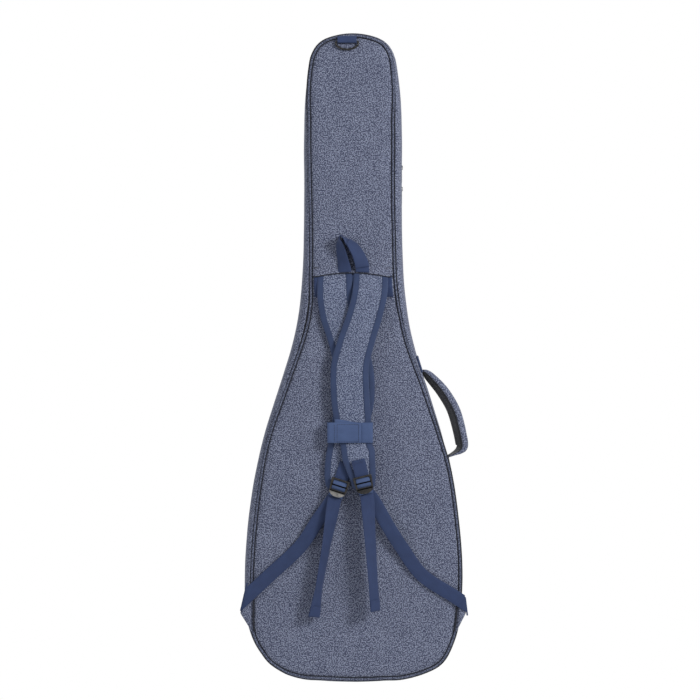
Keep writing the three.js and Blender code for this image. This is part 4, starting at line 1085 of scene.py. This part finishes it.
def on_lock(side, across, depth, up):
    """A point given in a lock's own directions."""
    (x, y, z), lean = LOCKS[side]
    sine, cosine = math.sin(math.radians(lean)), math.cos(math.radians(lean))
    return (x + across * cosine + up * sine, y + depth, z - across * sine + up * cosine)


def cut_across(mesh, point, direction):
    """Splits a mesh's faces where they cross a plane."""
    work = bmesh.new()
    work.from_mesh(mesh)
    everything = work.verts[:] + work.edges[:] + work.faces[:]
    bmesh.ops.bisect_plane(work, geom=everything, plane_co=point, plane_no=direction)
    work.to_mesh(mesh)
    work.free()


def lock_frame(side):
    """The metal ladder lock with its lip bent out. The left lock's lip has a paler metal as painted
    reflection.
    """
    obj = softened(f"{side}_ladder_lock", f"{side}_lock_frame", METAL, f"{side}_strap", 1.0)
    centre = ORIGIN + Vector(LOCKS[side][0]) * MM
    up = Vector(on_lock(side, 0, 0, 1)) - Vector(LOCKS[side][0])
    for below in (LIP_START, LIP_START + 2.5):
        cut_across(obj.data, centre + up * -below * MM, up)
    for vertex in obj.data.vertices:
        below = -(vertex.co - centre).dot(up) / MM - LIP_START
        if below > 0:
            vertex.co.y -= LIP_FLARE[side] * (below / 8) ** 1.3 * MM
    # The left lip's paler metal is a painted reflection; the right lip keeps the dark metal.
    if side == "left":
        obj.data.materials.append(LIP_REFLECTION_METAL.material)
        for polygon in obj.data.polygons:
            polygon.material_index = int(-(polygon.center - centre).dot(up) / MM > LIP_START)


def lock_set(side):
    """A lock, the doubled tab that holds it and the webbing that turns round its bar."""
    body = f"{side}_strap"
    lock_frame(side)
    across = np.subtract(on_lock(side, 1, 0, 0), on_lock(side, 0, 0, 0))
    for layer, (depth, top) in enumerate(((4.6, TAB_TOP[side]), (2.9, TAB_TOP[side] - 1.5))):
        tab = [(depth, top), (depth, 30), (depth, 20), (depth - 0.4, 16), (depth - 1.2 + layer, 12),
               (2.4, 8.4)]
        line = spline([on_lock(side, 0, d, v) for d, v in tab], 2)
        band(line, across, WEBBING_WIDTH, WEBBING_THICK).make(
            f"{side}_tab_webbing_{layer + 1}", WEBBING, body, (f"{side}_lock_tab",))
    # The turn is the strap's own webbing but takes the keeper's lighter cloth: painted highlight where it
    # curves over the bar.
    turn = [(3.1, -21.2), (3.0, -14), (2.9, -9.4), (0.4, -7.2), (-1.4, -4.8), (-2.5, -2.4), (-2.7, 0.2),
            (-2.5, 2.8), (-1.2, 5.6), (0.6, 7.8), (3.0, 9.2)]
    line = spline([on_lock(side, 0, d, v) for d, v in turn], 1.2)
    band(line, across, WEBBING_WIDTH, WEBBING_THICK).make(
        f"{side}_turn_webbing", KEEPER_AND_HIGHLIGHT_CLOTH, body, (f"{side}_webbing_turn",))
    # Near-black tubes over the middle bar and along the lip's edge: painted shade where the slots fall into
    # shadow.
    for part, depth, height, radius in (("bar", -3.5, 0.4, 1.3), ("lip_shadow_line", -3.0, -10.8, 1.1)):
        ridge = even(np.array([on_lock(side, u, depth, height) for u in (-14.4, 14.4)]), 2)
        tube(ridge, radius, sides=8, closed=False).make(f"{side}_lock_{part}", SLOT_SHADE_METAL, body)
    for height in (TAB_TOP[side] - 4, TAB_TOP[side] - 6.5):
        stitch_between(body, on_lock(side, -11, 1.9, height), on_lock(side, 11, 1.9, height), FACING_BACK,
                       pitch=2.6, length=2.0)


def tail(side, tip, shares):
    """The loose end of a strap: it leaves the lock, turns partly edge on and ends in a hem."""
    body = f"{side}_tail"
    start = np.array(on_lock(side, 0, TAIL_DEPTH, -22.1))
    bend = np.array(on_lock(side, 0, TAIL_DEPTH, -30))
    end = np.array((tip[0], start[1] - 4, tip[1]))
    along = (end - bend) / np.linalg.norm(end - bend)
    line = spline([start, bend, *(lerp(bend, end, share) for share in (0.12, 0.35, 0.65)), end], 4.0)
    marks = np.linspace(0, 1, len(line))
    twist = np.degrees(np.arccos(np.interp(marks, *zip(*shares))))
    side_on = np.cross(along, FACING_BACK)
    side_on /= np.linalg.norm(side_on)
    side_on *= np.sign(side_on[0])
    across = turned(twist, side_on, (0, 1, 0))
    curl = np.array([[0, 0.8 * math.sin(m * 9) * m, 0] for m in marks])
    webbing = band(line + curl, across, WEBBING_WIDTH, WEBBING_THICK).make(
        f"{side}_tail_webbing", WEBBING, body, (f"{side}_strap_tail",))
    hem = slice(len(line) - 6, len(line))
    normal = np.cross(across[-1], along)
    normal *= -np.sign(normal[1])
    folded = band((line + curl)[hem] + normal * 1.5, across[hem], WEBBING_WIDTH - 0.6, WEBBING_THICK)
    hem_piece = folded.make(f"{side}_tail_hem", WEBBING, body)
    cut_from(WEBBING_WIDTH)
    row = [(line + curl)[-5] + normal * 2.3 + np.array(across[-5]) * u for u in (-10, -5, 0, 5, 10)]
    sewing.add(body, row, normal, pitch=2.6, length=2.0)


# The lower webbings: places on the way from each lock, and the line along which the end is folded under
LOWER_ROUTES = {
    "left": ([(-42, 336), (-64, 305), (-97, 256), (-152, 204), (-186, 172.5)],
             ((-193.5, 190), (-205.5, 138.5))),
    "right": ([(38, 340), (64, 294), (88, 256), (126, 204), (184, 165.5)], ((205, 163), (209, 130))),
}
TAB_FACE = -50.7               # depth at which the lower webbings meet the corner tabs


def lower_webbing(side):
    """The webbing from the lock down to the corner tab, folded under at the tab."""
    route, (fold_high, fold_low) = LOWER_ROUTES[side]
    stand = LOCKS[side][0][1] + LOWER_DEPTH
    points = [on_lock(side, 0, LOWER_DEPTH, 1), on_lock(side, 0, LOWER_DEPTH, -14)]
    for i, (x, z) in enumerate(route):
        points.append((x, lerp(stand, TAB_FACE, min((i + 1) / len(route) * 1.3, 1)), z))
    line = spline(points, 4.0)
    flat = tangents(line)
    across = np.stack([flat[:, 2], np.zeros(len(line)), -flat[:, 0]], axis=1)
    rings = band_rings(line, across, WEBBING_WIDTH, WEBBING_THICK)
    fold_high, fold_low = np.array(fold_high), np.array(fold_low)
    fold = fold_low - fold_high
    fold_out = np.array([fold[1], -fold[0]]) / np.linalg.norm(fold)
    last = rings[-1]
    ahead = flat[-1] / np.linalg.norm(flat[-1])
    closing = np.dot((ahead[0], ahead[2]), fold_out)
    reach = [np.dot(fold_high - (p[0], p[2]), fold_out) / closing for p in last]
    rings += [[p + ahead * r * share for p, r in zip(last, reach)] for share in (0.35, 0.7, 1)]
    obj = Build().loft(rings).make(f"{side}_lower_strap", WEBBING, None, (f"{side}_lower_webbing",))
    fold_line = even(np.array([(x, TAB_FACE + 0.9, z) for x, z in (fold_high, fold_low)]), 3)
    tube(fold_line, 1.5, sides=8, closed=False).make(f"{side}_strap_fold", WEBBING, "shell")
    cut_from(WEBBING_WIDTH)
    return obj


def keeper():
    """The band that holds the two straps together, and its flap."""
    low, high = drawn("keeper_flap")
    middle = (low[2] + high[2]) / 2
    width = high[2] - low[2]
    band_low, band_high = drawn("keeper_band")
    front = high[1] + 1.4
    back = band_high[1] - 0.8
    left, right = band_low[0] + 0.8, band_high[0] - 0.8
    path = [(-34, front), (-20, front), (0, front), (20, front), (right - 4, front), (right - 1, front + 1),
            (right, front + 4), (right, -58), (right, back - 3), (right - 3, back), (right - 8, back),
            (0, back), (left + 8, back), (left + 3, back), (left, back - 3), (left, -58),
            (left, front + 1.2)]
    line = spline([(x, y, middle) for x, y in path], 2.5)
    on_the_front = (line[:, 1] < front + 2) & (line[:, 0] > left + 6)
    line[:, 2] += on_the_front * np.array([6.0 * ease((12 - x) / 46) for x in line[:, 0]])
    webbing = band(line, UPRIGHT, width, WEBBING_THICK).make(
        "keeper_band_webbing", KEEPER_AND_HIGHLIGHT_CLOTH, "left_strap", ("keeper_band",))
    cut_from(width)
    face = (low[1] + high[1]) / 2
    path = [(left - 0.4, high[1] + 2.2), (left, high[1] + 0.6), (left + 2.0, face), (left + 8, face - 0.1),
            (-20, face - 0.3), (0, face - 0.2), (high[0] - 6, face), (high[0], face + 0.2)]
    line = spline([(x, y, middle) for x, y in path], 2.5)
    band(line, UPRIGHT, width, WEBBING_THICK).make(
        "keeper_flap_webbing", KEEPER_AND_HIGHLIGHT_CLOTH, "flap", ("keeper_flap",))
    y = face - 1.05
    bottom, top = low[2] + 2, high[2] - 3.5
    for x0, z0, x1, z1 in ((-29, bottom, 10, bottom), (10, bottom, 10, top), (10, top, -29, top),
                           (-29, top, -29, bottom), (-34, bottom, -34, top)):
        stitch_between("flap", (x0, y, z0), (x1, y, z1), FACING_BACK, pitch=3.0, length=2.7, radius=0.55)


def straps():
    for side in ("left", "right"):
        shoulder_pad(side)
    for side in ("left", "right"):
        lock_set(side)
    tail("left", (-71.4, 129.2), ((0, 1.0), (0.1, 0.97), (0.4, 0.62), (0.75, 0.5), (1, 0.82)))
    tail("right", (40.1, 142.0), ((0, 1.0), (0.1, 0.98), (0.4, 0.8), (0.75, 0.68), (1, 0.7)))
    for side in ("left", "right"):
        webbing = lower_webbing(side)
        x, z = LOWER_ROUTES[side][0][3]
        start, end = (tuple(ORIGIN + Vector(place) * MM)
                      for place in (on_lock(side, 0, LOWER_DEPTH, -2), (x, TAB_FACE, z)))
        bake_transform(webbing)
    keeper()


# ---- Where the straps are sewn in, the grab loop and the ring ----

def seam_fold():
    """The lower edge of the upper panel, folded over the tops of the straps, with a dark cord below it as
    painted shadow line.
    """
    section = [(-46.2, 17), (-47.2, 12), (-49.4, 6), (-51.2, 2.8), (-52.2, 1.1), (-52.1, 0.1), (-51.0, 0.0),
               (-50.2, 0.8), (-48.6, 5), (-45.8, 11)]
    left, right = (side * half_width(-GROOVE - 0.8, SPLIT, side, 1) for side in (-1, 1))
    rings, edge = [], []
    for x in np.linspace(left, right, 57):
        low = fold_height(x)
        proud = ease(min(x - left, right - x) / 8)
        rings.append([(x, SKIN_FACE + 0.3 + (y - SKIN_FACE) * proud, low + z) for y, z in section])
        edge.append((x, SKIN_FACE + 0.3 - 4.3 * proud, low - 0.4))
    Build().loft(rings).make("seam_fold", COVER, "shell")
    # Near-black cord under the fold: painted shadow line.
    tube(edge, 1.4, sides=8, closed=False).make("seam_fold_shadow_line", FLANGE_AND_SHADE_CLOTH, "shell")


# Middle line of the grab loop's webbing, x, y, z and its twist in degrees
LOOP_LINE = [
    (-15.3, -53.4, 757.4, -14), (-15.7, -53.4, 764, -18), (-18.4, -54.6, 778, -35), (-22.0, -57, 795, -47),
    (-25.0, -60, 811, -68), (-25.6, -61, 819, -88), (-23.0, -61, 823.6, -92), (-18.5, -60.5, 820.8, -100),
    (-11.2, -58.5, 814, -122), (-1.5, -56.5, 804.5, -140), (7.8, -54.8, 791, -150), (14.6, -54.0, 775, -166),
    (17.0, -53.4, 764, -176), (17.0, -53.4, 757.4, -178),
]


def grab_loop():
    """The loop above the straps, and its second layer where the webbing is turned back."""
    fine = spline(LOOP_LINE, 2.5)
    line, across = fine[:, :3], np.array(turned(fine[:, 3]))
    webbing = band(line, across, WEBBING_WIDTH, WEBBING_THICK).make(
        "grab_loop_webbing", WEBBING, "shell", ("grab_loop",))
    cut_from(WEBBING_WIDTH)
    part = slice(int(len(line) * 0.62), len(line) - 4)
    outer = np.cross(tangents(line), across)[part]
    outer *= np.where(outer[:, 1:2] > 0, -1, 1)
    band(line[part] + outer * 2.1, across[part], WEBBING_WIDTH + 0.5, WEBBING_THICK).make(
        "grab_loop_turned_end", WEBBING, "shell")


def strap_seam():
    """The webbing sewn across the bag where the straps start, its fold and the grab loop."""
    low, high = drawn("strap_anchor_band")
    base = low[2] + 10
    border = outline(-4.5, low=base, high=high[2], lean=1)
    points, faces, _ = flat_mesh(border, spacing=7, rim_width=3, rim_spacing=3)
    both_faces(points, faces, [low[1]] * len(points), [high[1]] * len(points)).make(
        "anchor_band_webbing", WEBBING, "shell", ("strap_anchor_band",))
    for z in (base + 2.5, base + 5):
        left, right = ((x, low[1] - 0.1, z) for x in (low[0] + 3, high[0] - 3))
        stitch_between("shell", left, right, FACING_BACK, step=4)
    seam_fold()
    grab_loop()


def rounded_wire(node, name, body):
    """The D-ring's wire, smoothed from its CAD solid, thickened again and drawn a little flatter."""
    obj = merged_solid(node, name, METAL)
    finish_with(obj, "SUBSURF", levels=2, render_levels=2)
    top = max(vertex.co.z for vertex in obj.data.vertices)
    for vertex in obj.data.vertices:
        vertex.co += vertex.normal * 0.75 * MM
        vertex.co.z = lerp(top, vertex.co.z, 0.87)
    obj.data.polygons.foreach_set("use_smooth", [True] * len(obj.data.polygons))
    return settle(obj, body, (node,))


def ring():
    """The D-ring at the top of the back, and its tab."""
    softened("ring_tab", "ring_tab_webbing", WEBBING, "shell", 0.6)
    rounded_wire("d_ring", "d_ring_wire", "ring")


def corner_tabs():
    """The folded cloth tabs that hold the lower webbings at the bag's corners, each with a dark cord at its
    base as painted shadow line.
    """
    for side, sign in (("left", -1), ("right", 1)):
        low, high = drawn(f"corner_tab_{side}")
        tip = low[0] if sign < 0 else high[0]
        border = [(sign * half_width(3.2, z, sign, 1), z) for z in np.linspace(low[2] + 1, high[2] - 1, 12)]
        border += [(tip, 136.5), (tip, 133.5)]
        border = even(np.array(border + border[:1]), 3.0, closed=True)
        points, faces, tree = flat_mesh(border, spacing=6, rim_width=6, rim_spacing=3)
        middle = (low[1] + high[1]) / 2
        half = [lerp(0.7, 1.4, ease(tree.find((x, z, 0))[2] / 3)) for x, z in points]
        both_faces(points, faces, [middle - h for h in half], [middle + h for h in half]).make(
            f"corner_tab_{side}_cloth", COVER, "shell", (f"corner_tab_{side}",))
        # Near-black cord between tab and piping: painted shadow of the seam beside the tab.
        edge = [(sign * half_width(-0.7, z, sign, 1), SKIN_FACE + 0.3, z)
                for z in np.linspace(low[2] + 3, high[2] - 3, 14)]
        tube(edge, 1.6, sides=8, closed=False).make(f"corner_tab_{side}_edge", FLANGE_AND_SHADE_CLOTH, "shell")
        for ends in (((half_width(4, low[2] + 7, sign, 1), low[2] + 9), (abs(tip) - 5, 134.5)),
                     ((abs(tip) - 5, 136.0), (half_width(4, high[2] - 7, sign, 1), high[2] - 9))):
            start, end = ((sign * x, middle - 1.3, z) for x, z in ends)
            stitch_between("shell", start, end, FACING_BACK)


# ---- The carry handle ----

# Share of the way up, distance out, thickness and twist in degrees
HANDLE_SHAPE = [
    (0, 0.3, 3, 0), (0.012, 13, 5, 4), (0.03, 24, 10, 10), (0.08, 31.5, 16, 15), (0.28, 35, 17, 16),
    (0.5, 34.5, 17, 16), (0.72, 25, 16, 16), (0.9, 11, 12.5, 14), (0.97, 4, 9, 9), (1, 0.3, 4, 0),
]
HANDLE_ENDS = (414.0, 572.0)   # heights at which the handle leaves the wall
HANDLE_DEPTH = -5.0
HANDLE_HALF = 19.0             # half its width
CREASE_HEIGHT = 458            # a slight crease across the grip


def side_point(z, out):
    """A point outside the right-hand seam at a height."""
    line = seam_line(0)[:half_count + 1]
    at = int(np.argmin(abs(line[:, 1] - z)))
    x, _ = line[at]
    share = z - line[at][1]
    along = tangents(line)[at]
    normal = SEAM_OUT[at]
    return np.array((x + along[0] / along[1] * share + normal[0] * out, HANDLE_DEPTH, z + normal[1] * out))


def wall_point(y, z, lift):
    """A point lifted off the right-hand side wall at a depth and a height."""
    at = int(np.argmin(abs(SEAM[:half_count + 1, 1] - z)))
    x, _, height = side_point(z, leaned(at, y, wall_out(y)) + lift)
    return np.array((x, y, height))


def carry_handle():
    """The padded handle with its dark grip, and the webbing patches sewn over its ends."""
    low, high = (side_point(z, 18) for z in HANDLE_ENDS)
    run = high - low
    away = np.array((run[2], 0, -run[0])) / np.linalg.norm(run)
    stations = np.array([[*(low + run * share + away * out), *rest] for share, out, *rest in HANDLE_SHAPE])
    fine = spline(stations, 3.0)
    line, thick, twist = fine[:, :3], fine[:, 3], np.radians(fine[:, 4:])
    along = tangents(line)
    straight = np.stack([along[:, 2], np.zeros(len(line)), -along[:, 0]], axis=1)
    forward = np.array((0.0, 1.0, 0.0))
    outs = straight * np.cos(twist) + forward * np.sin(twist)
    sides = forward * np.cos(twist) - straight * np.sin(twist)
    steps = (-1, -0.97, -0.88, -0.7, -0.45, -0.15, 0.15, 0.45, 0.7, 0.88, 0.97, 1)
    outer, inner = [], []
    for p, t, o, w in zip(line, thick, outs, sides):
        crease = 1 - 0.06 * math.exp(-((p[2] - CREASE_HEIGHT) / 7) ** 2)
        half = HANDLE_HALF * (0.96 + 0.02 * lump(p[2], 0, 30, 3.0))
        arc = [(u, 0.5 * (1 - abs(u) ** 3.2) ** 0.5 * crease) for u in steps]
        outer.append([p + o * (v + 0.02 if abs(u) < 1 else -0.12) * t + w * u * half for u, v in arc]
                     + [p + o * -0.36 * t + w * half * u for u in (0.98, 0.5, -0.5, -0.98)])
        inner.append([p + o * v * t + w * half * u for u, v in
                      ((-0.97, -0.3), (-0.99, -0.42), (-0.9, -0.5), (-0.5, -0.5), (0.5, -0.5), (0.9, -0.5),
                       (0.99, -0.42), (0.97, -0.3), (0.5, -0.35), (-0.5, -0.35))])
    cover = Build().loft(outer).make("handle_cover", COVER, "shell", ("carry_handle",))
    Build().loft(inner).make("handle_grip", DARK_CLOTH, "shell", ("handle_lining",))
    for side in (-1, 1):
        seam = [p + o * -0.26 * t + w * side * HANDLE_HALF * 0.965
                for p, t, o, w in zip(line, thick, outs, sides)]
        sewing.add("shell", seam[3:-3], (0, side, 0))
    for part, (bottom, top) in (("upper", (570, 600)), ("lower", (385, 415))):
        patch = [wall_point(y, (bottom + top) / 2, 1.5) for y in np.linspace(-38, 11, 17)]
        height = side_point(top, 0) - side_point(bottom, 0)
        size = np.linalg.norm(height)
        band(patch, height / size, size, 1.6).make(
            f"handle_patch_{part}_webbing", WEBBING, "shell", (f"handle_patch_{part}",))
        corners = [(-36, bottom + 2), (-36, top - 2), (9, top - 2), (9, bottom + 2)]
        for (y0, z0), (y1, z1) in zip(corners, corners[1:] + corners[:1]):
            row = [wall_point(lerp(y0, y1, share), lerp(z0, z1, share), 2.4)
                   for share in np.linspace(0, 1, 8)]
            sewing.add("shell", row, FACING_RIGHT)


# ---- Pockets, their zippers, and all the sliders ----

def pocket(node, inset, seed):
    """A pocket sewn on the lid: walls with a piped rim and a slightly full face."""
    low, high = drawn(node)
    border = outline(-inset, low=low[2] + 0.5, high=high[2] - 0.3)
    border = settled(even(np.vstack([border, border[:1]]), 4.0, closed=True), 9)
    outs = outward(border)
    base, top = low[1] + 0.1, high[1] - 1.2
    section = [(0.9, base), (0.2, base + 1.2), (0, base + 4), (0.3, (base + top) / 2), (0, top - 3),
               (-0.6, top - 1.1), (-1.6, top - 0.4), (-3.6, top - 0.5), (-6, base + 0.2)]
    rings = []
    for out, y in section:
        ring = []
        for (x, z), (ox, oz) in zip(border, outs):
            wave = 0.5 * lump(x, z + 3 * y, 26, seed) if 0.1 < (y - base) / (top - base) < 0.9 else 0
            ring.append((x + ox * (out + wave), y, z + oz * (out + wave)))
        rings.append(ring)
    loops = np.array(rings).transpose(1, 0, 2)
    Build().loft(loops, closed=True).make(f"{node}_walls", COVER, "lid", (node,))
    panel(f"{node}_face", border + outs * -2.6, top + 0.9, 1, COVER, "lid", roll=1.5, roll_width=18,
          slack=0.7, thickness=1.0, seed=seed + 2)
    cord = [(x - ox * 0.9, top + 0.1, z - oz * 0.9) for (x, z), (ox, oz) in zip(border, outs)]
    tube(cord, 1.5).make(f"{node}_cord", PIPING_CORD, "lid")
    stitches = [(x + ox * 1.0, base + 2.2, z + oz * 1.0) for (x, z), (ox, oz) in zip(border, outs)]
    sewing.add("lid", stitches, [(ox, 0, oz) for ox, oz in outs], closed=True)


def pocket_zipper(node):
    """A pocket's zipper: tape, teeth, two rows of stitches and a cloth stop at each end."""
    low, high = drawn(node)
    middle = (low[1] + high[1]) / 2
    tape_top = high[2] - 1.7
    line = even(np.array([(low[0], middle, tape_top - 0.5), (high[0], middle, tape_top - 0.5)]), 5)
    band(line, (0, 1, 0), high[1] - low[1], 1.0).make(f"{node}_tape", ZIP_TAPE, "lid", (node,))
    teeth = Build()
    run = even(np.array([(low[0] + 3, 0, high[2] - 0.1), (high[0] - 3, 0, high[2] - 0.1)]), 1.15)
    ups = np.broadcast_to(np.array(UPRIGHT, float), run.shape)
    for side in (-1, 1):
        coil(teeth, run, ups, middle, side, reach=1.8)
    teeth.make(f"{node}_coil", ZIP_COIL, "lid", flat=True)
    for y in (middle - 4.2, middle + 4.2):
        stitch_between("lid", (low[0] + 2, y, tape_top), (high[0] - 2, y, tape_top), UPRIGHT, step=5,
                       pitch=2.8, length=2.0, radius=0.25)
    for part, end in (("left", low[0] + 1.2), ("right", high[0] - 1.2)):
        line = even(np.array([(end, middle - 4.6, tape_top + 0.5), (end, middle + 4.6, tape_top + 0.5)]), 3)
        band(line, FACING_RIGHT, 4.0, 1.1).make(f"{node}_end_{part}", COVER, "lid")


def sliders():
    """The slider and the pull of each of the four zips."""
    for name in ("upper_main", "lower_main", "large_pocket", "small_pocket"):
        softened(f"{name}_slider", f"{name}_slider_case", METAL, f"{name}_slider_body", 0.55)
        softened(f"{name}_pull", f"{name}_pull_tab", METAL, f"{name}_pull_body", 0.5)


def lid_pockets():
    pocket("large_pocket", 20, 41.0)
    pocket("small_pocket", 14, 47.0)
    pocket_zipper("large_pocket_zipper")
    pocket_zipper("small_pocket_zipper")
    sliders()


# ---- Camera, light and floor ----

VIEW_HALF = 0.217                                  # half the view's width at a distance of one
CAMERA_PLACE = (0.0144, -2.940, -0.2056)
BAG_MIDDLE = (0.02, 0.06, -0.25)
ROOM_COLOUR = (0.97, 0.98, 1.0, 1.0)
ROOM_STRENGTH = 0.335
FLOOR_HEIGHT = -1.0


def aimed(obj, at):
    """Turns a camera or a lamp towards a point."""
    direction = Vector(at) - obj.location
    obj.rotation_euler = direction.to_track_quat("-Z", "Y").to_euler()


def area_light(name, place, size, power):
    data = bpy.data.lights.new(name, "AREA")
    data.shape = "DISK"
    data.size = size
    data.energy = power
    light = bpy.data.objects.new(name, data)
    bpy.context.scene.collection.objects.link(light)
    light.location = place
    aimed(light, BAG_MIDDLE)


def camera_and_lights():
    scene = bpy.context.scene
    scene.view_settings.view_transform = "Standard"
    data = bpy.data.cameras.new("camera")
    data.angle = 2 * math.atan(VIEW_HALF)
    camera = bpy.data.objects.new("camera", data)
    scene.collection.objects.link(camera)
    camera.location = CAMERA_PLACE
    aimed(camera, (CAMERA_PLACE[0], 0.0, CAMERA_PLACE[2]))
    scene.camera = camera
    area_light("key", (1.8, -1.7, 0.8), 0.8, 41.5)
    area_light("left_fill", (-2.4, -1.4, 0.3), 1.6, 12)
    area_light("back_fill", (-0.6, 2.8, 0.9), 1.8, 30)


def white_room():
    """An even soft light on the bag, and plain white behind it and in its metal."""
    world = bpy.data.worlds.new("white_room")
    world.use_nodes = True
    bpy.context.scene.world = world
    nodes, links = world.node_tree.nodes, world.node_tree.links
    seen = nodes.new("ShaderNodeLightPath")
    either = nodes.new("ShaderNodeMath")
    either.operation = "MAXIMUM"
    links.new(seen.outputs["Is Camera Ray"], either.inputs[0])
    links.new(seen.outputs["Is Glossy Ray"], either.inputs[1])
    room = nodes.new("ShaderNodeBackground")
    room.inputs["Color"].default_value = ROOM_COLOUR
    room.inputs["Strength"].default_value = ROOM_STRENGTH
    white = nodes.new("ShaderNodeBackground")
    white.inputs["Color"].default_value = (1.0, 1.0, 1.0, 1.0)
    white.inputs["Strength"].default_value = 1.0
    blend = nodes.new("ShaderNodeMixShader")
    links.new(either.outputs[0], blend.inputs[0])
    links.new(room.outputs[0], blend.inputs[1])
    links.new(white.outputs[0], blend.inputs[2])
    links.new(blend.outputs[0], nodes["World Output"].inputs["Surface"])


def pale_floor():
    """A plain disc below the bag."""
    bpy.ops.mesh.primitive_circle_add(vertices=64, radius=0.65, fill_type="NGON",
                                      location=(0, 0, FLOOR_HEIGHT))
    floor = bpy.context.active_object
    floor.name = "floor"
    paint = bpy.data.materials.new("pale_floor")
    paint.use_nodes = True
    surface = paint.node_tree.nodes["Principled BSDF"]
    surface.inputs["Base Color"].default_value = (0.9, 0.9, 0.9, 1.0)
    surface.inputs["Roughness"].default_value = 0.9
    floor.data.materials.append(paint)


shell_skin()
lid_skin()
inside_linings()
straps()
strap_seam()
ring()
corner_tabs()
carry_handle()
lid_pockets()
sewing.make_all()
camera_and_lights()
white_room()
pale_floor()
